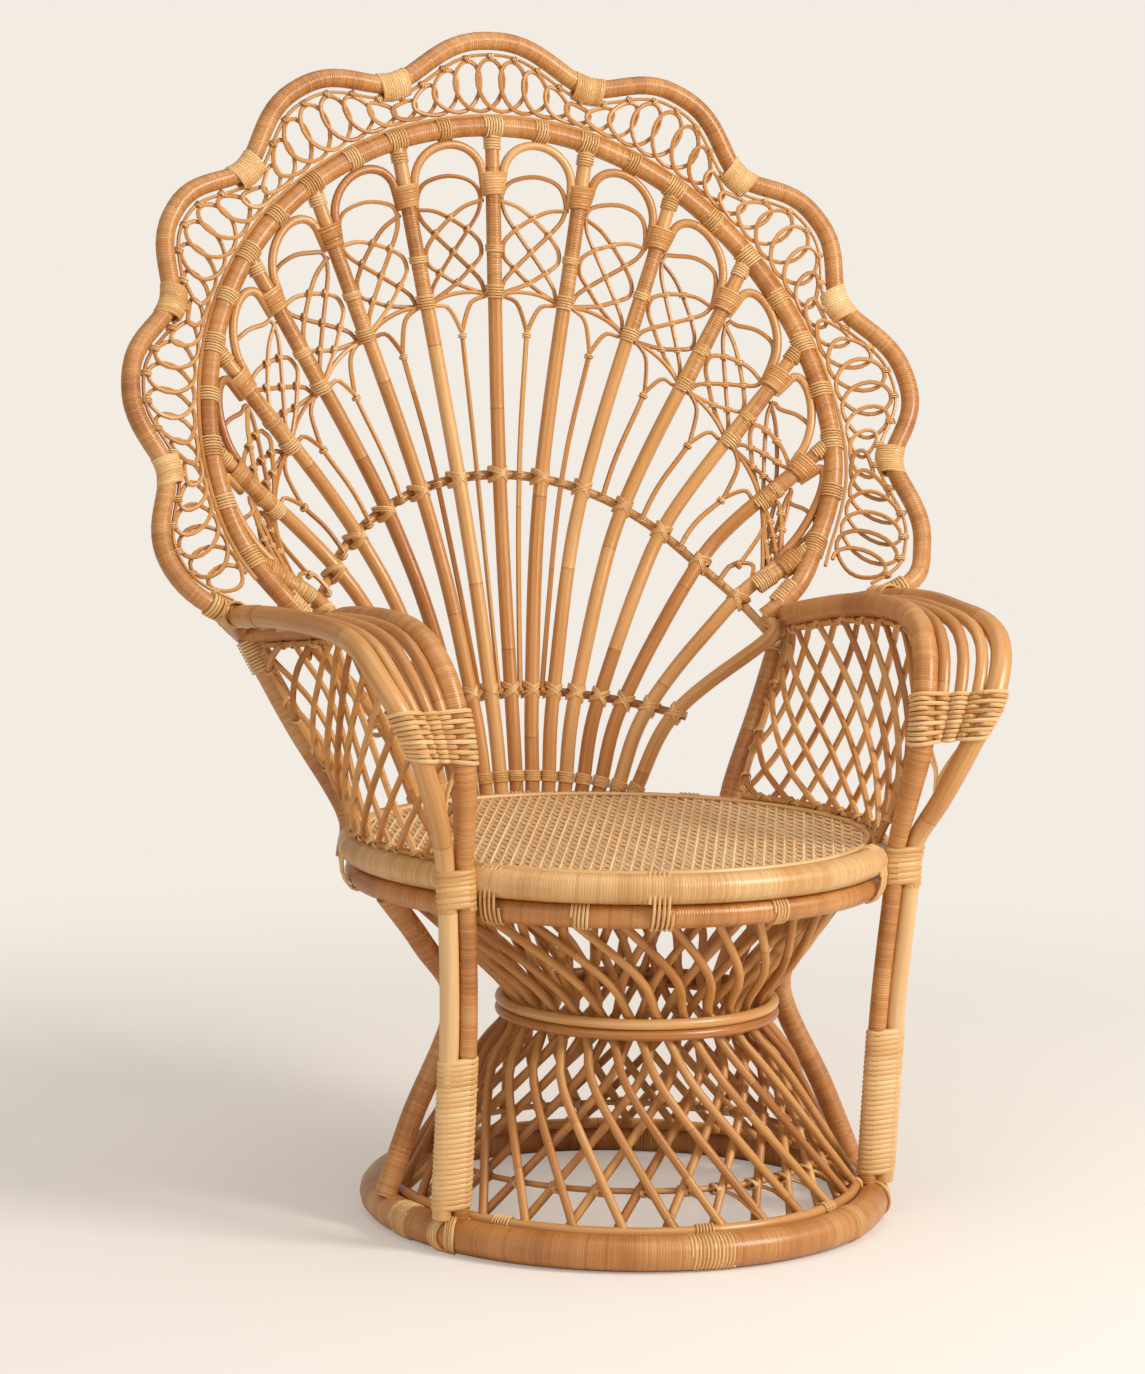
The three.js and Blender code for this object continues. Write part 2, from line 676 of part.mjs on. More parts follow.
const panelRear = [panelBottom[0], panelTopEdge[0]];

function onPanel(u, w, layer) {
  const low = sample(panelBottom, u);
  const high = sample(panelTopEdge, u);
  const rear = sample(panelRear, w);
  const front = sample(panelFront, w);
  const across = rear.multiplyScalar(1 - u).add(front.multiplyScalar(u));
  const upward = low.multiplyScalar(1 - w).add(high.multiplyScalar(w));
  const corners = sample(panelBottom, 0).multiplyScalar((1 - u) * (1 - w))
    .add(sample(panelBottom, 1).multiplyScalar(u * (1 - w)))
    .add(sample(panelTopEdge, 0).multiplyScalar((1 - u) * w))
    .add(sample(panelTopEdge, 1).multiplyScalar(u * w));
  return across.add(upward).sub(corners).addScaledVector(sideways, layer);
}

function latticePanel() {
  const step = latticePitch / panelBottom[0].distanceTo(panelBottom[panelSteps]);
  const layer = latticeTube + latticeGap / 2;
  const pieces = [];
  for (const lean of [1, -1]) {
    const first = lean > 0 ? step / 2 - latticeLeanShare : step / 2;
    const limit = lean > 0 ? 1 : 1 + latticeLeanShare;
    for (let start = first; start < limit; start += step) {
      const end = start + lean * latticeLeanShare;
      const w0 = THREE.MathUtils.clamp((lean > 0 ? -start : start - 1) / latticeLeanShare, 0, 1);
      const w1 = THREE.MathUtils.clamp((lean > 0 ? 1 - start : start) / latticeLeanShare, 0, 1);
      if (w1 - w0 < step) continue;
      const points = spread(w0, w1, 2).map((w, k) => (
        onPanel(THREE.MathUtils.lerp(start, end, w), w, k === 1 ? lean * layer : 0)
      ));
      pieces.push(cane(points, latticeTube, strandSideCount));
    }
  }
  const low = spread(0, 1, borderSteps).map((u) => onPanel(u, 0, 0));
  const front = spread(0, 1, borderSteps).map((w) => onPanel(1, w, 0));
  const high = spread(1, 0, borderSteps).map((u) => onPanel(u, 1, 0));
  pieces.push(cane([...low, ...front.slice(1)], latticeTube, slimSideCount));
  pieces.push(cane([...high, low[0]], latticeTube, slimSideCount));
  return pieces;
}

const panelPieces = latticePanel();
const latticeRooms = (side) => {
  const rails = [[innerRoutes.arm, railTube], [innerRoutes.post, postTube], [uprightRoute, uprightTube]];
  const rooms = rails.map(([points, tube]) => cane(mirrored(points, side), tube + clearance));
  return [...rooms, seatRoom, bandRooms.get(side)];
};
for (const [name, side] of sides) {
  const pieces = panelPieces.map((piece) => {
    const turned = piece.clone();
    if (side < 0) turned.applyMatrix4(new THREE.Matrix4().makeScale(-1, 1, 1));
    return side < 0 ? flipped(turned) : turned;
  });
  add(`arm_lattice_${name}`, coped(joined(pieces), latticeRooms(side)), 'thin');
}

// Back: the hoop, its scalloped frame with a collar at each valley, and the lace between them.
const hoopRoute = spread(-hoopEndAngle, hoopEndAngle, hoopSteps).map((angle) => {
  const p = hoopAt(angle);
  return onBack(p.x, p.y);
});
const armRooms = sides.flatMap(([, side]) => [
  cane(mirrored(innerRoutes.arm, side), railTube + clearance),
  cane(mirrored(outerRoutes.arm, side), outerRailTube + clearance),
  cane(mirrored(uprightRoute, side), uprightTube + clearance),
]);

const hoopRoom = cane(lengthened(hoopRoute, clearance), hoopTube + clearance);
add('hoop', coped(cane(hoopRoute, hoopTube), armRooms), 'wrap');

const halfValleys = [...valleyAngles, frameEndAngle];
const valleys = [...halfValleys.map((angle) => -angle).reverse(), ...halfValleys];
const lobe = (angle) => {
  const k = THREE.MathUtils.clamp(valleys.findIndex((valley) => angle < valley), 1, valleys.length - 1);
  const place = 2 * (angle - valleys[k - 1]) / (valleys[k] - valleys[k - 1]) - 1;
  return (1 + Math.cos(Math.PI * Math.abs(THREE.MathUtils.clamp(place, -1, 1)) ** lobeExponent)) / 2;
};
const frameOffset = (angle) => frameValleyOffset + (frameCrestOffset - frameValleyOffset) * lobe(angle);

// The frame ends where it meets the arm, a little under the arm's top.
function frameEnd() {
  let [high, low] = [valleyAngles[valleyAngles.length - 1], frameEndAngle];
  for (let k = 0; k < halvingSteps; k += 1) {
    const middle = (low + high) / 2;
    if (hoopAt(middle, frameOffset(middle)).y > armTopHeight - frameEndDrop) high = middle;
    else low = middle;
  }
  return low;
}

const frameCutAngle = frameEnd();
const lobeAngles = valleys.slice(1).flatMap((valley, k) => (
  spread(valleys[k], valley, lobeSteps).slice(0, lobeSteps)
));
const keptAngles = lobeAngles.filter((angle) => Math.abs(angle) < frameCutAngle);
const frameAngles = [-frameCutAngle, ...keptAngles, frameCutAngle];
const framePath = frameAngles.map((angle) => hoopAt(angle, frameOffset(angle)));

// A path moved towards the hoop by a distance, square to its own line.
function insetPath(path, distance) {
  return path.map((p, k) => {
    const before = path[Math.max(k - 1, 0)];
    const after = path[Math.min(k + 1, path.length - 1)];
    const line = after.clone().sub(before).normalize();
    return new THREE.Vector2(p.x + line.y * distance, p.y - line.x * distance);
  });
}

const innerEdgeStep = hoopTube + laceEdgeTube - edgeSeat;

// Outside the inner edge cane the sheet curls forward less than inside it.
function onBand(p, angle, behind = 0) {
  const from = hoopAt(angle, innerEdgeStep);
  const place = onBack(p.x, p.y, behind);
  place.y += (1 - bandCurlShare) * (sheetDepth(from.x, from.y) - sheetDepth(p.x, p.y));
  return place;
}

const bandRoute = (path, angles) => path.map((p, k) => onBand(p, angles[k]));
const frameRoute = bandRoute(framePath, frameAngles);
add('scalloped_frame', coped(cane(frameRoute, frameTube), armRooms), 'wrap');
const outerEdgeStep = frameTube + collarWall + laceEdgeTube + edgeRoom;
const outerEdge = insetPath(framePath, outerEdgeStep);
const innerAngles = spread(-frameCutAngle, frameCutAngle, hoopSteps);
const innerEdge = innerAngles.map((angle) => hoopAt(angle, innerEdgeStep));

const frameRoom = cane(frameRoute, frameTube + clearance);
const collarRooms = [];
const valleyNames = ['4_left', '3_left', '2_left', '1_left', '1_right', '2_right', '3_right', '4_right'];
valleys.slice(1, -1).forEach((angle, k) => {
  const reachAngle = collarLength / 2 / (hoopHalfWidth + frameValleyOffset) / degrees;
  const route = [-reachAngle, 0, reachAngle].map((turn) => {
    const p = hoopAt(angle + turn, frameOffset(angle + turn));
    return onBand(p, angle + turn);
  });
  add(`frame_collar_${valleyNames[k]}`, coped(cane(route, frameTube + collarWall), [frameRoom]), 'pale');
  collarRooms.push(cane(lengthened(route, clearance), frameTube + collarWall + clearance));
});
const edgeCane = (path, angles) => cane(bandRoute(path, angles), laceEdgeTube, strandSideCount);
add('lace_edge_outer', coped(edgeCane(outerEdge, frameAngles), [...armRooms, ...collarRooms]), 'thin');
add('lace_edge_inner', coped(edgeCane(innerEdge, innerAngles), armRooms), 'thin');

// The lace is one strand that loops on and on, passing over itself, between the two edge canes.
const laceGap = laceTube + laceEdgeTube;
const laceLow = innerEdgeStep + laceGap;
const laceHigh = (angle) => {
  const nearValley = (1 - lobe(angle)) ** 2;
  return frameOffset(angle) - outerEdgeStep - laceGap - collarReach * nearValley;
};
const laceEnd = frameCutAngle - laceEndAngle;
const laceMiddle = spread(-laceEnd, laceEnd, laceSampleSteps)
  .map((angle) => hoopAt(angle, frameValleyOffset / 2));
const laceLength = laceMiddle.reduce((sum, p, k) => (k ? sum + p.distanceTo(laceMiddle[k - 1]) : 0), 0);
const loopCount = Math.round(laceLength / laceLoopLength);
const lacePoints = [];
for (let k = 0; k <= loopCount * loopSteps; k += 1) {
  const turn = 2 * Math.PI * k / loopSteps;
  const swing = loopWidthShare * 2 * laceEnd / loopCount * Math.sin(turn);
  const angle = -laceEnd + 2 * laceEnd * k / (loopCount * loopSteps) + swing;
  const high = laceHigh(angle);
  const p = hoopAt(angle, (laceLow + high) / 2 - (high - laceLow) / 2 * Math.cos(turn));
  lacePoints.push(onBand(p, angle, laceDepth * Math.sin(turn)));
}
add('lace_loops', cane(lacePoints, laceTube, strandSideCount), 'thin');

// Spokes: a fan from the seat ring to the hoop, straight above the upper arch and bent upright below.
const fanEndAngle = Math.atan2(hoopEnd.x, hoopEnd.y - fanCentreHeight) / degrees + outerSpokeAngle;
const upperArchRadius = Math.hypot(hoopEnd.x, hoopEnd.y - fanCentreHeight) - upperArchInset;
const spokeFan = (1 + fanEaseShare) * fanEndAngle / spokePairCount;
const fanAngle = (place) => (
  place * (spokeFan - fanEaseShare * fanEndAngle * Math.abs(place) / spokePairCount ** 2)
);
const rayPoint = (place, distance) => new THREE.Vector2(
  distance * Math.sin(fanAngle(place) * degrees),
  fanCentreHeight + distance * Math.cos(fanAngle(place) * degrees),
);

function hoopDistance(place) {
  const target = fanAngle(place) * degrees;
  let low = 0;
  let high = hoopEndAngle;
  for (let k = 0; k < halvingSteps; k += 1) {
    const middle = (low + high) / 2;
    const p = hoopAt(middle);
    if (Math.atan2(p.x, p.y - fanCentreHeight) < Math.abs(target)) low = middle;
    else high = middle;
  }
  const p = hoopAt((low + high) / 2);
  return Math.hypot(p.x, p.y - fanCentreHeight);
}

const lowerArchZ = (x) => lowerArchHeight - lowerArchSag * (x / (lowerArchPitch * spokePairCount)) ** 2;

function spokeLine(place, tip) {
  const lowX = lowerArchPitch * place;
  const low = new THREE.Vector2(lowX, lowerArchZ(lowX));
  const high = rayPoint(place, upperArchRadius);
  const knots = [new THREE.Vector2(spokeFootPitch * place, seatRingHeight), low, high, tip];
  const curve = new THREE.CatmullRomCurve3(knots.map((p) => v(p.x, 0, p.y)), false, 'centripetal');
  const bent = spokeBendShares.map((t) => curve.getPoint(t));
  const reach = tip.clone().sub(high);
  const straight = [spokeStraightShare, collarShare, 1]
    .map((share) => high.clone().addScaledVector(reach, share));
  return [...bent, ...straight.map((p) => v(p.x, 0, p.y))];
}

const lifted = (points, behind = 0) => points.map((p) => onBack(p.x, p.z, behind));
const places = spread(-spokePairCount, spokePairCount, 2 * spokePairCount);
const spokeRoutes = new Map();
for (const place of places) {
  const tip = Math.abs(place) === spokePairCount
    ? new THREE.Vector2(hoopEnd.x * Math.sign(place), hoopEnd.y)
    : rayPoint(place, hoopDistance(place));
  const route = lifted(spokeLine(place, tip));
  spokeRoutes.set(place, route);
  const rooms = [seatRoom, hoopRoom, ...(Math.abs(place) === spokePairCount ? armRooms : [])];
  const side = place < 0 ? 'left' : 'right';
  const name = place ? `spoke_${Math.abs(place)}_${side}` : 'spoke_middle';
  add(name, coped(cane(route, spokeTube), rooms), 'cane');
}

// The two arches tied behind the spokes.
const archEnd = fanEndAngle + archOverrun / upperArchRadius / degrees;
const upperArch = spread(-archEnd, archEnd, upperArchSteps).map((angle) => onBack(
  upperArchRadius * Math.sin(angle * degrees),
  fanCentreHeight + upperArchRadius * Math.cos(angle * degrees),
  spokeTube + upperArchTube + crossingGap,
));
add('upper_arch', cane(upperArch, upperArchTube), 'cane');
const archReach = lowerArchPitch * spokePairCount + archOverrun;
const lowerArch = spread(-archReach, archReach, lowerArchSteps).map((x) => (
  onBack(x, lowerArchZ(x), spokeTube + lowerArchTube + crossingGap)
));
add('lower_arch', cane(lowerArch, lowerArchTube), 'cane');

// Petals: bent canes from spoke to spoke, their feet held to each spoke by a ribbed collar.
const cellPlaces = spread(-petalPairCount, petalPairCount - 1, 2 * petalPairCount - 1);
const petalPlaces = spread(-petalPairCount, petalPairCount, 2 * petalPairCount);
const reachOf = new Map(petalPlaces.map((place) => [place, hoopDistance(place)]));
const collarAt = (place) => collarShare * reachOf.get(place);
const lowerCollarAt = (place) => lowerCollarShares[Math.abs(place)] * reachOf.get(place);
const petalSideStep = spokeTube + petalTube + clearance;
const footTurn = (place, distance) => petalSideStep / distance / degrees / spokeFan;

function cellPoint(place, share, distance, behind) {
  const p = rayPoint(place + share, distance);
  return onBack(p.x, p.y, behind);
}

function petal(place) {
  const low = [collarAt(place), collarAt(place + 1)];
  const crest = hoopDistance(place + 0.5) - hoopTube - petalTube - 2 * clearance;
  const rise = crest - (low[0] + low[1]) / 2;
  const start = footTurn(place, low[0]);
  const end = 1 - footTurn(place + 1, low[1]);
  const points = [];
  for (let k = 0; k <= petalSteps; k += 1) {
    const angle = Math.PI * k / petalSteps;
    const across = (1 - Math.cos(angle)) / 2;
    const share = start + (end - start) * across;
    points.push(cellPoint(place, share, low[0] + (low[1] - low[0]) * across + rise * Math.sin(angle), 0));
  }
  return cane(points, petalTube, slimSideCount);
}

function petalCollar(place) {
  const levels = [collarHalf, -collarHalf].map((step) => collarAt(place) + step);
  const sections = levels.map((distance) => {
    const middle = cellPoint(place, 0, distance, 0);
    const beside = cellPoint(place, footTurn(place, distance), distance, 0).sub(middle).normalize();
    const behind = cellPoint(place, 0, distance, spokeTube).sub(middle).normalize();
    return spread(0, 2 * Math.PI, caneSideCount).slice(1).map((turn) => middle.clone()
      .addScaledVector(beside, (petalSideStep + petalTube) * Math.cos(turn))
      .addScaledVector(behind, corner(spokeTube + collarWall, caneSideCount) * Math.sin(turn)));
  });
  return loft(sections);
}

const spokeRooms = petalPlaces.map((place) => cane(spokeRoutes.get(place), spokeTube + clearance));
const garland = joined([...cellPlaces.map(petal), ...petalPlaces.map(petalCollar)]);
add('petal_garland', coped(garland, [...spokeRooms, hoopRoom]), 'cane');

// Fine lattice behind the spokes: a thin arch and crossing strands in every cell, tied to a spine cane
// behind each spoke, with two strands that meet in a fork and run on as a stake over the arches.
const frontLayer = spokeTube + collarWall + strandTube;
const backLayer = frontLayer + 2 * strandTube + crossingGap / 3;
const boundTop = (place) => collarAt(place) - collarHalf - boundGap;
const boundAt = (place, share) => THREE.MathUtils.lerp(boundTop(place), lowerCollarAt(place), share);

const spineHalf = strandTube / 2;
const turnIn = (distance) => spineHalf / 2 / distance / degrees / spokeFan;

function strand(place, from, to, bow, layer, steps) {
  const start = boundAt(place, from);
  const end = boundAt(place + 1, to);
  const points = spread(turnIn(start), 1 - turnIn(end), steps).map((t) => (
    cellPoint(place, t, start + (end - start) * t + bow * Math.sin(Math.PI * t), layer)
  ));
  return cane(points, strandTube, strandSideCount);
}

function spine(place) {
  const ends = [boundTop(place), lowerCollarAt(place) - 2 * strandTube];
  const sections = ends.map((distance) => {
    const turn = 2 * turnIn(distance);
    const corners = [[-turn, -1], [turn, -1], [turn, 1], [-turn, 1]];
    const layer = (side) => (side < 0 ? frontLayer : backLayer);
    return corners.map(([share, side]) => cellPoint(place, share, distance, layer(side)));
  });
  return loft(sections);
}

const latticeBits = petalPlaces.map(spine);
for (const place of cellPlaces) {
  const bow = strandBowShare * (boundTop(place) - lowerCollarAt(place));
  strandStartShares.forEach((from, k) => {
    latticeBits.push(strand(place, from, strandEndShares[k], bow, frontLayer, 2));
    latticeBits.push(strand(place, strandEndShares[k], from, bow, backLayer, 2));
  });
  latticeBits.push(strand(place, archShare, archShare, thinArchRise, backLayer, 5));
  const meanLow = (lowerCollarAt(place) + lowerCollarAt(place + 1)) / 2;
  const fork = Math.max(meanLow - forkDrop, upperArchRadius + 2 * upperArchTube + forkDrop / 2);
  const tip = cellPoint(place, 0.5, fork, frontLayer);
  for (const step of [0, 1]) {
    const start = lowerCollarAt(place + step);
    const bendAcross = step ? 1 - forkBendShare : forkBendShare;
    const bend = cellPoint(place, bendAcross, (start + fork + strandDrop) / 2, frontLayer);
    const root = step ? 1 - turnIn(start) : turnIn(start);
    const foot = cellPoint(place, root, start, frontLayer);
    latticeBits.push(cane([foot, bend, tip], strandTube, strandSideCount));
  }
  const middle = place + 0.5;
  const reachesLow = Math.abs(middle) < longStakePairCount;
  const line = spokeLine(middle, rayPoint(middle, fork + strandTube));
  const kept = reachesLow
    ? [line[1].clone().lerp(line[0], longStakeShare), line[2], line[3]]
    : [line[3].clone().lerp(line[2], shortStakeShare)];
  const above = rayPoint(middle, upperArchRadius + 2 * upperArchTube);
  kept.push(v(above.x, 0, above.y), line[6]);
  const depths = kept.map((p, k) => (k === kept.length - 1 ? frontLayer : stakeBehind));
  latticeBits.push(cane(kept.map((p, k) => onBack(p.x, p.z, depths[k])), strandTube, strandSideCount));
}
add('fan_lattice', joined(latticeBits), 'thin');

model.updateMatrixWorld(true);
const bounds = new THREE.Box3().setFromObject(model);
model.position.y = -(bounds.min.y + bounds.max.y) / 2;

export default model;
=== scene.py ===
# %% [markdown]
# # A rattan peacock chair
# The chair is made of canes: thick poles bent into hoops and rails, thinner ones for spokes and
# stakes, and split peel wound round them or lashed over their crossings. Blender sees every one of
# them as a curve with a round section, so most of this lesson is about working out where a cane
# runs, and turning that run into a mesh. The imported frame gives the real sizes; every visible piece
# replaces the plain solid at the same place.

# %% Load the frame and keep its box
from math import atan2, cos, hypot, pi, radians, sin, sqrt

import bpy
from mathutils import Matrix, Vector


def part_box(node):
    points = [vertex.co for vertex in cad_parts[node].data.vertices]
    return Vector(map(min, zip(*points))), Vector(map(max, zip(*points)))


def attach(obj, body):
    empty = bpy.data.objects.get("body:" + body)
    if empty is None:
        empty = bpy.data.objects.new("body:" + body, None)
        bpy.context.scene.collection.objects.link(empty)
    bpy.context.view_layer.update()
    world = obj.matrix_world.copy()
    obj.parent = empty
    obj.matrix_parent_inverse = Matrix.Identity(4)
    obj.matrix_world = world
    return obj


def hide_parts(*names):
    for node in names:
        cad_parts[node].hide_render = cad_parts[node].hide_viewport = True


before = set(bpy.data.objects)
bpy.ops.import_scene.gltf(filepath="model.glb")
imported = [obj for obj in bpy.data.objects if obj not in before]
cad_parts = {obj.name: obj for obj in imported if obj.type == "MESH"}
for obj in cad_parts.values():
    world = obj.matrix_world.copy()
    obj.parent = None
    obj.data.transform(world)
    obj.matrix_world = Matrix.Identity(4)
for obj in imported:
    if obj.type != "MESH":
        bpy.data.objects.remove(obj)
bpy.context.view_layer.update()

# %% [markdown]
# ## The camera
# A photograph is matched by its camera first: where it stands, where it looks and how long its lens
# is. The camera stands 4.8 m off, 22.6 degrees to the chair's right and a little over the seat,
# tipped down 7 degrees. Its axes are worked out from those angles, and the lens from its focal
# length as a share of the picture's height.

# %% Camera
BASE_LOW, BASE_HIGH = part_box("base_ring")
BASE_Y = (BASE_LOW[1] + BASE_HIGH[1]) / 2
CAMERA_PLACE = Vector((-1.91403, -4.42503 + BASE_Y, 1.20889))
CAMERA_TURN = radians(-22.563)
CAMERA_PITCH = radians(7.025)
CAMERA_ROLL = radians(0.898)
SENSOR = 36.0
FOCAL_SHARE = 3.05441

forward = Vector((-sin(CAMERA_TURN) * cos(CAMERA_PITCH), cos(CAMERA_TURN) * cos(CAMERA_PITCH),
                  -sin(CAMERA_PITCH)))
level = Vector((cos(CAMERA_TURN), sin(CAMERA_TURN), 0.0))
over = level.cross(forward)
camera_x = level * cos(CAMERA_ROLL) + over * sin(CAMERA_ROLL)
camera_y = over * cos(CAMERA_ROLL) - level * sin(CAMERA_ROLL)
camera_axes = Matrix((camera_x, camera_y, -forward)).transposed()

bpy.ops.object.select_all(action="DESELECT")
bpy.ops.object.camera_add(location=CAMERA_PLACE)
camera = bpy.context.object
camera.name = "photo_camera"
camera.matrix_world = Matrix.Translation(CAMERA_PLACE) @ camera_axes.to_4x4()
camera.data.sensor_width = SENSOR
camera.data.lens = SENSOR * FOCAL_SHARE
bpy.context.scene.camera = camera
print("lens", round(camera.data.lens, 2), "mm")

# %% [markdown]
# ## Turning a run of points into a cane
# A pole could be a stretched cylinder, but rattan is bent, so a curve with a bevel is the natural
# tool: it keeps its section round wherever it goes. `canes` adds one path for a whole set of runs,
# gives each its points, and converts them to a mesh in one go. The converted mesh has UVs that run
# from 0 to 1 along each cane; they are stretched to real metres, so a winding of 3 mm stays 3 mm on
# every pole, and each cane gets its own whole number added round it, so that a material can tell
# one cane from the next.

# %% The cane maker
OFF_EDGE = 0.002


def length_of(route, closed=False):
    ends = route[1:] + route[:1] if closed else route[1:]
    return sum((b - a).length for a, b in zip(route, ends))


def measure_uvs(mesh, routes, around, closed):
    """Stretch each cane's UVs to metres along it, and set its own number beside them."""
    uvs = mesh.uv_layers.active.data
    caps = 0 if closed else 2 * (around - 2)
    sides = [(len(route) - (0 if closed else 1)) * around for route in routes]
    blocks = [(i, caps) for i in range(len(routes))] + list(enumerate(sides))
    if sum(count for cane_index, count in blocks) != len(mesh.polygons):
        raise ValueError("the converted curve has another number of faces than its routes give")
    face = 0
    for cane_index, count in blocks:
        run = length_of(routes[cane_index], closed)
        for polygon in mesh.polygons[face:face + count]:
            for loop in polygon.loop_indices:
                u, v = uvs[loop].uv
                uvs[loop].uv = (u * run, min(max(v, OFF_EDGE), 1 - OFF_EDGE) + cane_index)
        face += count


def canes(name, routes, radius, detail=2, closed=False, radii=None):
    """A mesh of round canes along lists of points, each closed at its ends or into a loop."""
    bpy.ops.object.select_all(action="DESELECT")
    bpy.ops.curve.primitive_nurbs_path_add()
    piece = bpy.context.object
    piece.name = name
    curve = piece.data
    curve.splines.clear()
    for route in routes:
        spline = curve.splines.new("POLY")
        spline.points.add(len(route) - 1)
        for k, (point, place) in enumerate(zip(spline.points, route)):
            point.co = (*place, 1.0)
            point.radius = radii[k] if radii else 1.0
        spline.use_cyclic_u = closed
    curve.dimensions = "3D"
    curve.bevel_depth = radius
    curve.bevel_resolution = detail
    curve.use_fill_caps = not closed
    bpy.ops.object.convert(target="MESH")
    piece = bpy.context.object
    measure_uvs(piece.data, routes, 4 + 2 * detail, closed)
    bpy.ops.object.mode_set(mode="EDIT")
    bpy.ops.mesh.select_all(action="SELECT")
    bpy.ops.mesh.remove_doubles(threshold=radius / 50)
    bpy.ops.mesh.normals_make_consistent(inside=False)
    bpy.ops.object.mode_set(mode="OBJECT")
    bpy.ops.object.shade_smooth_by_angle(angle=radians(50))
    return piece


FINE_STEPS = 12


def bend(knots, steps):
    """Points evenly along a smooth bend through a few knots."""
    ends = [knots[0] * 2 - knots[1], *knots, knots[-1] * 2 - knots[-2]]
    fine = []
    for a, b, c, d in zip(ends, ends[1:], ends[2:], ends[3:]):
        for k in range(FINE_STEPS):
            t = k / FINE_STEPS
            fine.append(0.5 * (2 * b + (c - a) * t + (2 * a - 5 * b + 4 * c - d) * t * t
                               + (3 * b - a - 3 * c + d) * t * t * t))
    fine.append(knots[-1].copy())
    return evenly(fine, steps)


def evenly(route, steps):
    """The same run with its points an equal way apart."""
    total = length_of(route)
    points, walked, leg = [route[0].copy()], 0.0, 0
    for k in range(1, steps):
        target = total * k / steps
        while walked + (route[leg + 1] - route[leg]).length < target:
            walked += (route[leg + 1] - route[leg]).length
            leg += 1
        share = (target - walked) / (route[leg + 1] - route[leg]).length
        points.append(route[leg].lerp(route[leg + 1], share))
    return points + [route[-1].copy()]


def span(low, high, steps):
    return [low + (high - low) * k / steps for k in range(steps + 1)]


def around_axis(radius, turn, back, height):
    return Vector((radius * sin(turn), BASE_Y + back - radius * cos(turn), height))


def circle(radius, height, back=0.0, steps=96):
    return [around_axis(radius, a, back, height) for a in span(0, 2 * pi, steps)[:-1]]


def mirror(route, side):
    return [Vector((p.x * side, p.y, p.z)) for p in route]


# %% [markdown]
# ## Windings, lashings and crossed ties
# A lashing is a strip of peel wound a few times over a joint, then tucked in. It is modelled as
# what it is: a helix of thin cane round the poles it holds. `winding` gives the helix round an axis
# with a section that may be wider one way than the other, so the same function ties a single spoke
# or two poles side by side. Where two poles cross, the strip goes over the crossing both ways, as
# in `cross_tie`. Real ridges catch the light and break the outline; a bump alone would not show on
# the edge.

# %% The winding makers
def square_to(axis, hint=Vector((0, 0, 1))):
    side = axis.cross(hint)
    if side.length < 1e-4:
        side = axis.cross(Vector((1, 0, 0)))
    side.normalize()
    return side, side.cross(axis).normalized()


def winding(route, wide, deep, pitch, per_turn=12, across=None):
    """A helix round a short run of points; wide and deep are its half sizes to its middle line."""
    turns = max(length_of(route) / pitch, 1.0)
    steps = int(turns * per_turn)
    points = evenly(route, steps)
    helix = []
    for k, point in enumerate(points):
        ahead = (points[min(k + 1, steps)] - points[max(k - 1, 0)]).normalized()
        side, up = square_to(ahead) if across is None else (across, ahead.cross(across).normalized())
        angle = 2 * pi * k / per_turn
        helix.append(point + side * wide * cos(angle) + up * deep * sin(angle))
    return helix


def along(route, centre, half):
    """A short stretch of a run, half to each side of a point on it."""
    best = min(range(len(route)), key=lambda k: (route[k] - centre).length)
    ahead = (route[min(best + 1, len(route) - 1)] - route[max(best - 1, 0)]).normalized()
    return [centre - ahead * half, centre, centre + ahead * half]


def cross_tie(centre, axis, out, wide, deep, slant, strands, gap, per_turn=18):
    """Closed loops round a crossing, some slanting one way along the axis and some the other."""
    side = axis.cross(out).normalized()
    loops = []
    for lean in (1, -1):
        for k in range(strands):
            shift = (k - (strands - 1) / 2) * gap
            loops.append([centre + side * wide * cos(a) + out * deep * sin(a)
                          + axis * (shift + lean * slant * cos(a)) for a in span(0, 2 * pi, per_turn)[:-1]])
    return loops


# %% [markdown]
# ## Materials
# Everything is rattan, but its finish changes with how it was worked. A whole pole keeps its hard
# glossy skin, with a ring mark at every node. Split peel wound round a pole shows as fine slanting
# bands. Thin core has no skin, so it is duller. Colours are written as hex and turned to linear
# once. A pattern follows each cane by its UVs, which hold real metres along it.

# %% Colour and node helper
MATH, WHITE_NOISE = "ShaderNodeMath", "ShaderNodeTexWhiteNoise"


def hex_colour(code):
    values = [int(code[k:k + 2], 16) / 255 for k in (1, 3, 5)]
    return [*[v / 12.92 if v <= 0.04045 else ((v + 0.055) / 1.055) ** 2.4 for v in values], 1.0]


def add_node(tree, kind, sockets=None, output=0, **settings):
    """Add a node with its settings; each socket named is linked to an output or given its value."""
    made = tree.nodes.new(kind)
    for key, value in settings.items():
        setattr(made, key, value)
    for socket, value in (sockets or {}).items():
        if isinstance(value, bpy.types.NodeSocket):
            tree.links.new(value, made.inputs[socket])
        else:
            made.inputs[socket].default_value = value
    return made.outputs[output]


def set_stops(elements, stops):
    while len(elements) < len(stops):
        elements.new(1.0)
    for element, (position, code) in zip(elements, stops):
        element.position = position
        element.color = hex_colour(code)


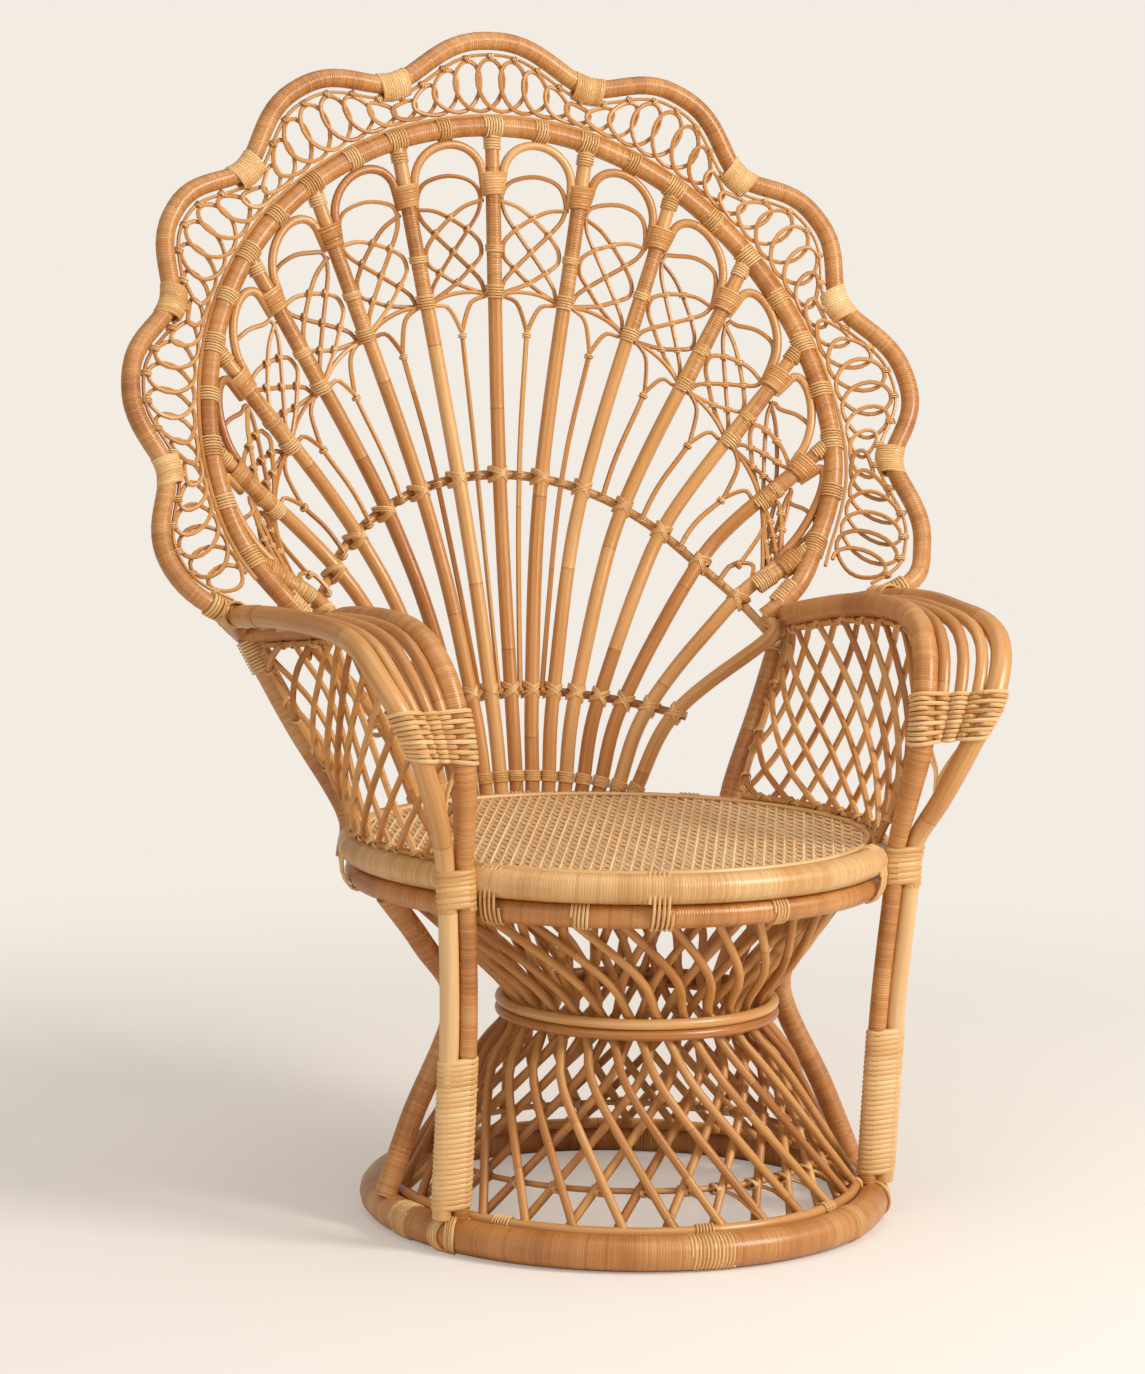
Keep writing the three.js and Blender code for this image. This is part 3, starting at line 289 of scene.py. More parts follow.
def start_material(name, roughness, coat):
    """A waxy or varnished surface, a little uneven, with the run along the cane and the turn round it."""
    material = bpy.data.materials.new(name)
    material.use_nodes = True
    tree = material.node_tree
    shader = tree.nodes["Principled BSDF"]
    shader.inputs["IOR"].default_value = 1.5
    shader.inputs["Coat Weight"].default_value = coat
    shader.inputs["Coat Roughness"].default_value = 0.22
    place = add_node(tree, "ShaderNodeTexCoord", output="Object")
    grime = add_node(tree, "ShaderNodeTexNoise", {"Vector": place, "Scale": 60.0, "Detail": 3.0})
    uneven = add_node(tree, MATH, {0: grime, 1: 0.24, 2: roughness - 0.12}, operation="MULTIPLY_ADD")
    tree.links.new(uneven, shader.inputs["Roughness"])
    uv = add_node(tree, "ShaderNodeUVMap", uv_map="UVMap")
    run = add_node(tree, "ShaderNodeSeparateXYZ", {0: uv})
    return material, tree, shader, place, run, run.node.outputs[1]


# %% [markdown]
# Wrapped peel: split skin of the cane in strips about 3 mm wide, wound side by side and varnished.
# The eye sees a smooth pole with hair-fine rings, broader zones where one length of peel gave way
# to the next, and a soft sheen. The distance along the cane, plus a slant round it, is cut into
# strips; each strip gets a slight tone of its own from white noise, a low rounded bump, and a thin
# darker line where it meets the next.

# %% Wrapped peel
PEEL_ZONE = 0.07


def wrapped_peel(name, pitch, stops, seam="#A06C36", roughness=0.40, relief=0.0004):
    material, tree, shader, place, run, turn = start_material(name, roughness, 0.35)
    slant = add_node(tree, MATH, {0: run, 1: 1 / pitch, 2: turn}, operation="MULTIPLY_ADD")
    strip_number = add_node(tree, MATH, {0: slant}, operation="FLOOR")
    strip = add_node(tree, WHITE_NOISE, {"W": strip_number}, noise_dimensions="1D")
    across_strip = add_node(tree, MATH, {0: slant}, operation="FRACT")
    half_turn = add_node(tree, MATH, {0: across_strip, 1: pi}, operation="MULTIPLY")
    bow = add_node(tree, MATH, {0: half_turn}, operation="SINE")
    own_shift = add_node(tree, MATH, {0: turn, 1: 0.02}, operation="MULTIPLY")
    zone_place = add_node(tree, MATH, {0: run, 1: 1 / PEEL_ZONE, 2: own_shift}, operation="MULTIPLY_ADD")
    zone_number = add_node(tree, MATH, {0: zone_place}, operation="FLOOR")
    zone = add_node(tree, WHITE_NOISE, {"W": zone_number}, noise_dimensions="1D")
    patches = add_node(tree, "ShaderNodeTexNoise", {"Vector": place, "Scale": 14.0, "Detail": 2.0})
    broad = add_node(tree, MATH, {0: patches, 1: 0.58}, operation="MULTIPLY")
    zoned = add_node(tree, MATH, {0: zone, 1: 0.22, 2: broad}, operation="MULTIPLY_ADD")
    mixed = add_node(tree, MATH, {0: strip, 1: 0.20, 2: zoned}, operation="MULTIPLY_ADD")
    tone = add_node(tree, "ShaderNodeValToRGB", {0: mixed})
    set_stops(tone.node.color_ramp.elements, stops)
    at_edge = add_node(tree, MATH, {0: bow, 1: 0.30}, operation="LESS_THAN")
    line = add_node(tree, MATH, {0: at_edge, 1: 0.42}, operation="MULTIPLY")
    seamed = add_node(tree, "ShaderNodeMix", {0: line, 6: tone, 7: hex_colour(seam)}, output=2,
                      data_type="RGBA")
    tree.links.new(seamed, shader.inputs["Base Color"])
    bump = add_node(tree, "ShaderNodeBump", {"Height": bow, "Strength": 0.7, "Distance": relief})
    tree.links.new(bump, shader.inputs["Normal"])
    return material


peel_wrap = wrapped_peel("rattan_peel_wound_over_pole", 0.0030,
                         [(0.25, "#A4652A"), (0.5, "#BF8041"), (0.75, "#D29B5C")], seam="#8A5624")
seat_wrap = wrapped_peel("rattan_peel_wound_over_seat_ring", 0.0032,
                         [(0.25, "#BE8949"), (0.5, "#D6A66A"), (0.75, "#E4BE8A")], seam="#A5713A")
low_seat_wrap = wrapped_peel("dark_peel_wound_over_lower_seat_ring", 0.0032,
                             [(0.25, "#A4642A"), (0.5, "#BC7C3C"), (0.75, "#D09756")], roughness=0.34)
spoke_wrap = wrapped_peel("rattan_peel_wound_over_spoke", 0.0034,
                          [(0.25, "#A5682E"), (0.5, "#C38A4B"), (0.75, "#D9A76E")], seam="#855020")
print("wound peels", [kind.name for kind in (peel_wrap, seat_wrap, low_seat_wrap, spoke_wrap)])

# %% [markdown]
# Whole canes: long fine streaks along the pole, a slow change of tone, and a dark ring on a low
# swelling at each node, about 300 mm apart. The cane's own number shifts the rings and the tone, so
# no two poles match. The skin is naturally waxy, which a light coat gives; thin core and split peel
# have hardly any coat and are rougher.

# %% Natural cane
STREAKS_ALONG = 6.0


def natural_cane(name, stops, node_step, node_half, streak_scale, roughness=0.36, coat=0.3, ring=0.45):
    material, tree, shader, place, run, turn = start_material(name, roughness, coat)
    number = add_node(tree, MATH, {0: turn}, operation="FLOOR")
    own = add_node(tree, WHITE_NOISE, {"W": number}, noise_dimensions="1D")
    stretched = add_node(tree, MATH, {0: run, 1: STREAKS_ALONG}, operation="MULTIPLY")
    round_place = add_node(tree, MATH, {0: turn, 1: streak_scale}, operation="MULTIPLY")
    streak_place = add_node(tree, "ShaderNodeCombineXYZ", {0: stretched, 1: round_place})
    streaks = add_node(tree, "ShaderNodeTexNoise", {"Vector": streak_place, "Scale": 1.0, "Detail": 3.0})
    apart = add_node(tree, MATH, {0: number, 1: 3.7}, operation="MULTIPLY")
    slow_place = add_node(tree, "ShaderNodeCombineXYZ", {0: stretched, 1: apart})
    slow = add_node(tree, "ShaderNodeTexNoise", {"Vector": slow_place, "Scale": 1.0, "Detail": 1.0})
    own_shift = add_node(tree, MATH, {0: own, 1: 5.0}, operation="MULTIPLY")
    shifted = add_node(tree, MATH, {0: run, 1: 1 / node_step, 2: own_shift}, operation="MULTIPLY_ADD")
    rounded = add_node(tree, MATH, {0: shifted}, operation="ROUND")
    length_number = add_node(tree, MATH, {0: number, 1: 17.0, 2: rounded}, operation="MULTIPLY_ADD")
    internode = add_node(tree, WHITE_NOISE, {"W": length_number}, noise_dimensions="1D")
    slow_tone = add_node(tree, MATH, {0: slow, 1: 0.26}, operation="MULTIPLY")
    own_tone = add_node(tree, MATH, {0: own, 1: 0.22, 2: slow_tone}, operation="MULTIPLY_ADD")
    length_tone = add_node(tree, MATH, {0: internode, 1: 0.18, 2: own_tone}, operation="MULTIPLY_ADD")
    mixed = add_node(tree, MATH, {0: streaks, 1: 0.34, 2: length_tone}, operation="MULTIPLY_ADD")
    tone = add_node(tree, "ShaderNodeValToRGB", {0: mixed})
    set_stops(tone.node.color_ramp.elements, stops)
    between = add_node(tree, MATH, {0: shifted}, operation="FRACT")
    past_node = add_node(tree, MATH, {0: between, 1: 0.5}, operation="SUBTRACT")
    away = add_node(tree, MATH, {0: past_node}, operation="ABSOLUTE")
    at_node = add_node(tree, MATH, {0: away, 1: node_half / node_step}, operation="LESS_THAN")
    darker = add_node(tree, MATH, {0: at_node, 1: ring}, operation="MULTIPLY")
    ringed = add_node(tree, "ShaderNodeMix", {0: darker, 6: tone, 7: hex_colour("#7E5228")}, output=2,
                      data_type="RGBA")
    tree.links.new(ringed, shader.inputs["Base Color"])
    shoulder = add_node(tree, MATH, {0: away, 1: -node_step / (6 * node_half), 2: 1.0},
                        operation="MULTIPLY_ADD")
    raised = add_node(tree, MATH, {0: shoulder, 1: 0.0}, operation="MAXIMUM")
    height = add_node(tree, MATH, {0: streaks, 1: 0.15, 2: raised}, operation="MULTIPLY_ADD")
    bump = add_node(tree, "ShaderNodeBump", {"Height": height, "Strength": 0.4, "Distance": 0.0008})
    tree.links.new(bump, shader.inputs["Normal"])
    return material


pole_skin = natural_cane("whole_rattan_pole", [(0.28, "#A4642A"), (0.5, "#C58B4B"), (0.72, "#DFB174")],
                         0.30, 0.0010, 14.0)
light_pole = natural_cane("light_rattan_pole", [(0.28, "#C68F50"), (0.5, "#D9AB70"), (0.72, "#E8C592")],
                          0.34, 0.0010, 14.0)
thin_core = natural_cane("thin_rattan_core", [(0.28, "#A3652D"), (0.5, "#C28848"), (0.72, "#D9A869")],
                         0.26, 0.0007, 4.0, roughness=0.46, coat=0.1)
pale_peel = natural_cane("pale_split_peel", [(0.28, "#C69355"), (0.5, "#DBAF73"), (0.72, "#E8C693")],
                         0.31, 0.0004, 3.0, roughness=0.44, coat=0.1, ring=0.2)
collar_peel = natural_cane("golden_split_peel", [(0.28, "#AE7337"), (0.5, "#C99154"), (0.72, "#DCAE74")],
                           0.31, 0.0004, 3.0, roughness=0.44, coat=0.1, ring=0.2)
web_peel = natural_cane("seat_webbing_peel", [(0.28, "#DDB078"), (0.5, "#EDC892"), (0.72, "#F6DCB3")],
                        0.25, 0.0004, 3.0, roughness=0.5, coat=0.05, ring=0.25)
print("whole and split canes",
      [kind.name for kind in (pole_skin, light_pole, thin_core, pale_peel, collar_peel, web_peel)])


# %% Finishing a piece
def finish_piece(piece, material, slot, *nodes):
    """Dress a piece, let it ride on the chair's one body, and let it stand for its CAD nodes."""
    print(piece.name, len(piece.data.polygons), "faces")
    piece.data.materials.clear()
    piece.data.materials.append(material)
    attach(piece, "root")
    if nodes:
        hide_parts(*nodes)


# %% [markdown]
# ## The pedestal
# The chair stands on one thick wrapped ring. A thin foot ring lies on its inner shoulder and
# carries two layers of thirty stakes that lean opposite ways, so they cross like a net; two rings
# pinch them at the waist. Each stake is one bend through six places, from its foot in to the waist
# and out again to its top.

# %% Pedestal sizes and stakes
BASE_R, BASE_TUBE, FOOT_TUBE = 0.290, 0.020, 0.0065
WAIST_Z, WAIST_R, WAIST_FORWARD, WAIST_TUBE = 0.250, 0.159, 0.028, 0.0062
SEAT_R, SEAT_TUBE, SEAT_TOP, SEAT_BACK = 0.309, 0.017, 0.442, 0.042
LOW_SEAT_R, LOW_SEAT_TUBE = 0.303, 0.014
SEAT_Z = SEAT_TOP - SEAT_TUBE
LOW_SEAT_Z = SEAT_Z - SEAT_TUBE - LOW_SEAT_TUBE - 0.0003
STAKE_TUBE, STAKE_COUNT, LAYER_STEP = 0.0052, 30, 0.0168
LOWER_TWIST, UPPER_TWIST = 37, 25
FOOT_STEP = (BASE_TUBE + FOOT_TUBE) * sqrt(0.5)
FOOT_R, FOOT_Z = BASE_R - FOOT_STEP, BASE_TUBE + FOOT_STEP
STAKE_ROOM = 0.001
STAKE_WAIST_R = WAIST_R - WAIST_TUBE - STAKE_TUBE - STAKE_ROOM
STAKE_TOP_R = LOW_SEAT_R - LOW_SEAT_TUBE - STAKE_TUBE - STAKE_ROOM


def stake(index, lean, inward):
    """One stake through six levels: radius, degrees round, how far back, and height."""
    start = 2 * pi * index / STAKE_COUNT
    levels = [
        (FOOT_R - inward * 0.6, -lean * LOWER_TWIST, 0.0, FOOT_Z),
        (STAKE_WAIST_R - inward + 0.042, -lean * 12, -WAIST_FORWARD * 0.8, WAIST_Z - 0.070),
        (STAKE_WAIST_R - inward + 0.003, -lean * 3, -WAIST_FORWARD, WAIST_Z - 0.016),
        (STAKE_WAIST_R - inward + 0.003, lean * 3, -WAIST_FORWARD, WAIST_Z + 0.016),
        (STAKE_WAIST_R - inward + 0.050, lean * 10, 0.012 - WAIST_FORWARD, WAIST_Z + 0.066),
        (STAKE_TOP_R - inward * 0.6, lean * UPPER_TWIST, SEAT_BACK, LOW_SEAT_Z + 0.004),
    ]
    knots = [around_axis(r, start + radians(turn), back, z) for r, turn, back, z in levels]
    return bend(knots, 26)


outer_routes = [stake(i, -1, 0.0) for i in range(STAKE_COUNT)]
inner_routes = [stake(i, 1, LAYER_STEP) for i in range(STAKE_COUNT)]
finish_piece(canes("stakes_outer", outer_routes, STAKE_TUBE), thin_core, "thin_cane",
             "outer_stakes_with_foot_ring")
finish_piece(canes("stakes_inner", inner_routes, STAKE_TUBE), thin_core, "thin_cane",
             "inner_stakes_with_weaver")
finish_piece(canes("foot_ring", [circle(FOOT_R, FOOT_Z)], FOOT_TUBE, closed=True), pole_skin,
             "natural_cane")
print("stakes", len(outer_routes) + len(inner_routes))

# %% [markdown]
# Low inside the stakes runs a thin weaver ring. A crossed strip of peel ties it to every inner
# stake, and from each tie a short twig bends down to the foot ring.

# %% Weaver, its ties and twigs
WEAVER_Z, WEAVER_TUBE, WEAVER_BACK, WEAVER_SHARE = 0.076, 0.0036, -0.006, 0.21
TIE_STRIP, WEAVER_STEP, TWIG_TUBE, TWIG_DEGREES, TWIG_BOW = 0.0012, 0.003, 0.0023, 9, 0.007
WEAVER_R = FOOT_R + (STAKE_WAIST_R - FOOT_R) * WEAVER_SHARE - LAYER_STEP - WEAVER_STEP
finish_piece(canes("weaver_ring", [circle(WEAVER_R, WEAVER_Z, WEAVER_BACK)], WEAVER_TUBE, closed=True),
             thin_core, "thin_cane")


def turn_of(place, back=0.0):
    return atan2(place.x, BASE_Y + back - place.y)


weaver_ties, twigs = [], []
for route in inner_routes:
    crossing = min(route, key=lambda p: abs(p.z - WEAVER_Z))
    turn = turn_of(crossing, WEAVER_BACK)
    centre = around_axis(WEAVER_R + WEAVER_STEP, turn, WEAVER_BACK, WEAVER_Z)
    ring_way, outward = Vector((cos(turn), sin(turn), 0)), Vector((sin(turn), -cos(turn), 0))
    weaver_ties += cross_tie(centre, ring_way, outward, wide=0.0056, deep=0.0100, slant=0.0042, strands=2,
                             gap=0.0026, per_turn=12)
    foot = around_axis(FOOT_R, turn + radians(TWIG_DEGREES), 0.0, FOOT_Z + FOOT_TUBE * 0.6)
    knee = centre.lerp(foot, 0.45) + Vector((0, 0, TWIG_BOW))
    twigs.append(bend([centre, knee, foot], 8))
finish_piece(canes("weaver_ties", weaver_ties, TIE_STRIP, 1, closed=True), pale_peel, "pale_binding")
finish_piece(canes("foot_twigs", twigs, TWIG_TUBE, 1), thin_core, "thin_cane")

# %% Rings of the pedestal and seat
finish_piece(canes("base_ring_wrapped", [circle(BASE_R, BASE_TUBE, steps=128)], BASE_TUBE, 5, closed=True),
             peel_wrap, "wrapped_cane", "base_ring")
waist_pair = [circle(WAIST_R, WAIST_Z + s * WAIST_TUBE, -WAIST_FORWARD) for s in (1, -1)]
finish_piece(canes("waist_rings", waist_pair, WAIST_TUBE, 3, closed=True), pole_skin, "natural_cane",
             "waist_ring_upper", "waist_ring_lower")
finish_piece(canes("seat_ring_wrapped", [circle(SEAT_R, SEAT_Z, SEAT_BACK, 128)], SEAT_TUBE, 5, closed=True),
             seat_wrap, "wrapped_cane", "seat_ring_upper")
finish_piece(canes("seat_ring_low_wrapped", [circle(LOW_SEAT_R, LOW_SEAT_Z, SEAT_BACK, 128)],
                   LOW_SEAT_TUBE, 4, closed=True), low_seat_wrap, "wrapped_cane", "seat_ring_lower")

# %% [markdown]
# On either side a wrapped leg stands on the base ring, bends in to the waist rings and out again
# under the seat. It is one bend through five places: sideways, back and height.

# %% Side legs
SIDE_LEG_TUBE = 0.0132
SIDE_LEG = [(0.298, 0.002, 0.036), (0.262, 0.012, 0.125), (0.207, 0.022, 0.250), (0.250, 0.014, 0.325),
            (0.300, 0.002, 0.388)]
leg_routes = [bend([Vector((side * x, BASE_Y + y, z)) for x, y, z in SIDE_LEG], 30) for side in (-1, 1)]
finish_piece(canes("side_legs_wrapped", leg_routes, SIDE_LEG_TUBE, 4), peel_wrap, "wrapped_cane",
             "side_leg_left", "side_leg_right")

# %% [markdown]
# Pale strips hold the rings together: round both seat rings at eight places, round the base ring
# over the joints of its winding, and round the foot ring. Each is a short helix that follows the
# ring for a few centimetres.

# %% Bindings on the rings
RING_BIND_TUBE, BASE_BIND_TUBE = 0.0018, 0.0014


def ring_binding(radius, height, back, degrees_round, length, wide, deep, pitch):
    """A helix that follows a ring for a short length, round a section of two half sizes."""
    half = length / 2 / radius
    middle = radians(degrees_round)
    run = [around_axis(radius, a, back, height) for a in span(middle - half, middle + half, 6)]
    return winding(run, wide, deep, pitch, per_turn=16)


PAIR_R, PAIR_Z = (SEAT_R + LOW_SEAT_R) / 2 + 0.001, (SEAT_TOP + LOW_SEAT_Z - LOW_SEAT_TUBE) / 2
seat_bindings = [ring_binding(PAIR_R, PAIR_Z, SEAT_BACK, turn, length=0.026, wide=SEAT_TUBE + 0.0006,
                              deep=0.0322, pitch=0.0052) for turn in (-14, -49, -101, 49, 101, 140, 180, 220)]
seat_bindings += [ring_binding(LOW_SEAT_R, LOW_SEAT_Z, SEAT_BACK, turn, length=0.020,
                               wide=LOW_SEAT_TUBE + 0.0008, deep=LOW_SEAT_TUBE + 0.0008, pitch=0.0042)
                  for turn in (13, -30, 76, 160)]
finish_piece(canes("seat_ring_bindings", seat_bindings, RING_BIND_TUBE, 1), pale_peel, "pale_binding")
base_joints = [(-4, 0.050), (38, 0.018), (-80, 0.030), (95, 0.030), (150, 0.050), (-150, 0.050)]
base_bindings = [ring_binding(BASE_R, BASE_TUBE, 0, turn, length, wide=BASE_TUBE - 0.0002,
                              deep=BASE_TUBE - 0.0002, pitch=0.0042) for turn, length in base_joints]
base_bindings += [ring_binding(FOOT_R, FOOT_Z, 0, turn, length=0.020, wide=FOOT_TUBE + 0.0010,
                               deep=FOOT_TUBE + 0.0010, pitch=0.0036)
                  for turn in (-53, -4, 35, 62, -110, 120, 170)]


def kept_off_floor(loops, room):
    """Press the undersides of bindings flat where they would reach through the floor."""
    for loop in loops:
        for place in loop:
            place.z = max(place.z, room)


kept_off_floor(base_bindings, BASE_BIND_TUBE)
finish_piece(canes("base_ring_bindings", base_bindings, BASE_BIND_TUBE, 1), pale_peel, "pale_binding")

# %% [markdown]
# ## The back
# The whole back lies on one bent sheet: it leans back as it rises and its sides curl forward
# towards the arms. The same tables of shares as in the solids say how far. Every cane of the back
# is drawn flat first, as x and height, and then laid on the sheet, in front of it or behind it.

# %% The sheet of the back
LEAN, CURL = 0.134, 0.160
LEAN_SHARES = [(0, 0), (0.42, 0.55), (0.87, 0.86), (1, 1)]
CURL_SHARES = [(0, 1.6835), (0.2, 1.6835), (0.27, 1.37), (0.33, 0.95), (0.42, 0.76), (0.6, 0.46),
               (0.8, 0.18), (1, 0.1)]
BACK_TOP, HOOP_HALF = 1.375, 0.408
SHEET_FOOT = SEAT_BACK + SEAT_R + 0.005
TINY, ARM_LEVEL = 0.001, 0.704


def from_table(table, place):
    """The height over a place on the smooth line through a table's points."""
    k = 0
    while k < len(table) - 2 and place > table[k + 1][0]:
        k += 1
    (x0, y0), (x1, y1) = table[k], table[k + 1]
    before, after = table[max(k - 1, 0)], table[min(k + 2, len(table) - 1)]
    slope0 = (y1 - before[1]) / (x1 - before[0])
    slope1 = (after[1] - y0) / (after[0] - x0)
    t = min(max((place - x0) / (x1 - x0), 0), 1)
    width, rise = x1 - x0, y1 - y0
    return (y0 + t * width * slope0 + t * t * (3 * rise - width * (2 * slope0 + slope1))
            + t ** 3 * (width * (slope0 + slope1) - 2 * rise))


def sheet_depth(x, z):
    share = (z - SEAT_TOP) / (BACK_TOP - SEAT_TOP)
    curl = CURL * from_table(CURL_SHARES, share) * (x / HOOP_HALF) ** 2
    return SHEET_FOOT + LEAN * from_table(LEAN_SHARES, share) - curl


def on_back(x, z, behind=0.0):
    slope_x = (sheet_depth(x + TINY, z) - sheet_depth(x - TINY, z)) / (2 * TINY)
    slope_z = (sheet_depth(x, z + TINY) - sheet_depth(x, z - TINY)) / (2 * TINY)
    normal = Vector((-slope_x, 1.0, -slope_z)).normalized()
    return Vector((x, BASE_Y + sheet_depth(x, z), z)) + normal * behind


def laid(flat):
    return [on_back(p.x, p.y) for p in flat]


curl_there = sheet_depth(0, ARM_LEVEL) - sheet_depth(HOOP_HALF, ARM_LEVEL)
print("beside the arms the back's edge stands", round(curl_there, 3), "m before its middle")

# %% [markdown]
# The hoop is two half ellipses, a taller one over a shorter one, open at the bottom. The scalloped
# frame keeps off it by a distance that swells between the valleys, which gives the nine lobes, and
# it curls forward less than the sheet inside the hoop does.

# %% Hoop and scalloped frame
HOOP_Z, HOOP_RISE, HOOP_FALL, HOOP_TUBE, HOOP_END = 0.880, 0.380, 0.315, 0.012, 134
FRAME_TUBE, VALLEY_OFFSET, CREST_OFFSET, FRAME_CUT = 0.0115, 0.068, 0.106, 117.98
VALLEYS = [-121, -94, -68.5, -44, -16, 16, 44, 68.5, 94, 121]
LOBE_EXPONENT = 1.25
INNER_EDGE, OUTER_EDGE, BAND_CURL, EDGE_TUBE = 0.0138, 0.0172, 0.66, 0.0024


def hoop_at(angle, offset=0.0):
    s, c = sin(radians(angle)), cos(radians(angle))
    rise = HOOP_RISE if c > 0 else HOOP_FALL
    out = Vector((s / HOOP_HALF, c / rise)).normalized()
    return Vector((HOOP_HALF * s, HOOP_Z + rise * c)) + out * offset


def lobe(angle):
    k = next((i for i in range(1, len(VALLEYS)) if angle < VALLEYS[i]), len(VALLEYS) - 1)
    place = 2 * (angle - VALLEYS[k - 1]) / (VALLEYS[k] - VALLEYS[k - 1]) - 1
    return (1 + cos(pi * min(abs(place), 1) ** LOBE_EXPONENT)) / 2


def frame_offset(angle):
    return VALLEY_OFFSET + (CREST_OFFSET - VALLEY_OFFSET) * lobe(angle)


def on_band(p, angle, behind=0.0):
    start = hoop_at(angle, INNER_EDGE)
    place = on_back(p.x, p.y, behind)
    place.y += (1 - BAND_CURL) * (sheet_depth(start.x, start.y) - sheet_depth(p.x, p.y))
    return place


def shifted_inward(flat, distance):
    moved = []
    for k, p in enumerate(flat):
        line = (flat[min(k + 1, len(flat) - 1)] - flat[max(k - 1, 0)]).normalized()
        moved.append(Vector((p.x + line.y * distance, p.y - line.x * distance)))
    return moved


hoop_route = laid([hoop_at(a) for a in span(-HOOP_END, HOOP_END, 150)])
finish_piece(canes("hoop_wrapped", [hoop_route], HOOP_TUBE, 4), peel_wrap, "wrapped_cane", "hoop")
frame_angles = span(-FRAME_CUT, FRAME_CUT, 190)
frame_flat = [hoop_at(a, frame_offset(a)) for a in frame_angles]
frame_route = [on_band(p, a) for p, a in zip(frame_flat, frame_angles)]
finish_piece(canes("scalloped_frame_wrapped", [frame_route], FRAME_TUBE, 4), peel_wrap, "wrapped_cane",
             "scalloped_frame")
outer_edge = [on_band(p, a) for p, a in zip(shifted_inward(frame_flat, OUTER_EDGE), frame_angles)]
inner_edge = [on_band(hoop_at(a, INNER_EDGE), a) for a in frame_angles]
finish_piece(canes("lace_edge_by_frame", [outer_edge], EDGE_TUBE, 1), thin_core, "thin_cane",
             "lace_edge_outer")
finish_piece(canes("lace_edge_by_hoop", [inner_edge], EDGE_TUBE, 1), thin_core, "thin_cane",
             "lace_edge_inner")

# %% [markdown]
# At each valley a dozen turns of pale peel lash the frame to the lace's edge cane, so the lashing
# reaches further in than out.

# %% Valley collars
COLLAR_STRIP, COLLAR_DEGREES, COLLAR_SHIFT = 0.0020, 2.2, 0.0042
collar_routes = []
for angle in VALLEYS[1:-1]:
    run = [on_band(hoop_at(angle + t, frame_offset(angle + t) - COLLAR_SHIFT), angle + t)
           for t in span(-COLLAR_DEGREES, COLLAR_DEGREES, 8)]
    outward = (on_band(hoop_at(angle, 0.08), angle) - on_band(hoop_at(angle, 0.06), angle)).normalized()
    collar_routes.append(winding(run, wide=FRAME_TUBE + 0.0048, deep=FRAME_TUBE + 0.0004, pitch=0.0029,
                                 per_turn=20, across=outward))
finish_piece(canes("valley_collars", collar_routes, COLLAR_STRIP, 1), pale_peel, "pale_binding",
             *[f"frame_collar_{k}_{side}" for side in ("left", "right") for k in (1, 2, 3, 4)])

# %% [markdown]
# The lace is one endless strand thrown in loops that overlap, like writing practice. A trochoid
# does this: it runs along the border and swings to and fro as it goes. Its depth swings too, so it
# passes in front of itself and then behind, as a woven strand does. A small tie holds each loop to
# the edge cane beside the frame.

# %% Lace
LACE_TUBE, LACE_LOOP, LOOP_STEPS, LOOP_SWING, LACE_DEPTH = 0.0028, 0.0275, 20, 0.86, 0.0042
LACE_ROOM, FINE_STRIP = 0.0052, 0.0011
lace_end = FRAME_CUT - 2.0
lace_middle = [hoop_at(a, VALLEY_OFFSET / 2) for a in span(-lace_end, lace_end, 200)]
loop_count = round(sum((b - a).length for a, b in zip(lace_middle, lace_middle[1:])) / LACE_LOOP)
lace, lace_ties = [], []
for k in range(loop_count * LOOP_STEPS + 1):
    turn = 2 * pi * k / LOOP_STEPS
    angle = -lace_end + 2 * lace_end * (k / LOOP_STEPS + LOOP_SWING * sin(turn)) / loop_count
    low = INNER_EDGE + LACE_ROOM
    high = frame_offset(angle) - OUTER_EDGE - LACE_ROOM - 0.004 * (1 - lobe(angle)) ** 2
    p = hoop_at(angle, (low + high) / 2 - (high - low) / 2 * cos(turn))
    lace.append(on_band(p, angle, LACE_DEPTH * sin(turn)))
    if k % LOOP_STEPS == LOOP_STEPS // 2:
        edge = frame_offset(angle) - OUTER_EDGE - LACE_ROOM / 2
        here, ahead = (on_band(hoop_at(angle + t, edge), angle + t) for t in (0, 0.3))
        axis = (ahead - here).normalized()
        lace_ties.append(winding([here - axis * 0.003, here, here + axis * 0.003], wide=0.0062,
                                 deep=0.0042, pitch=0.0024))
finish_piece(canes("lace_loops_strand", [lace], LACE_TUBE, 1), thin_core, "thin_cane", "lace_loops")
finish_piece(canes("lace_ties", lace_ties, FINE_STRIP, 0), pale_peel, "pale_binding")
print("lace loops", loop_count)

# %% [markdown]
# ## Spokes
# Fifteen poles stand close together on the back of the seat, bend outwards over the lower arch and
# run on as straight rays to the hoop. Their skin is left natural below; between the petals' collar
# and the lower tie they are bound with peel.

# %% Spokes
FAN_Z, SPOKE_TUBE, SPOKE_PAIRS, SPOKE_FOOT = 0.510, 0.009, 7, 0.0204
ARCH_R, LOW_ARCH_Z, LOW_ARCH_PITCH, LOW_ARCH_SAG = 0.322, 0.567, 0.0276, 0.028
FAN_STEP, FAN_CLOSING = 9.95, 0.065
COLLAR_SHARE = 0.906
LOWER_COLLAR_SHARES = [0.73, 0.73, 0.73, 0.73, 0.75, 0.79, 0.81]
PETAL_TUBE, COLLAR_HALF, TAIL_BACK, HALVINGS = 0.0056, 0.0135, 0.004, 40


def fan_angle(place):
    return radians(FAN_STEP * place - FAN_CLOSING * place * abs(place))


def ray(place, distance):
    return Vector((distance * sin(fan_angle(place)), FAN_Z + distance * cos(fan_angle(place))))


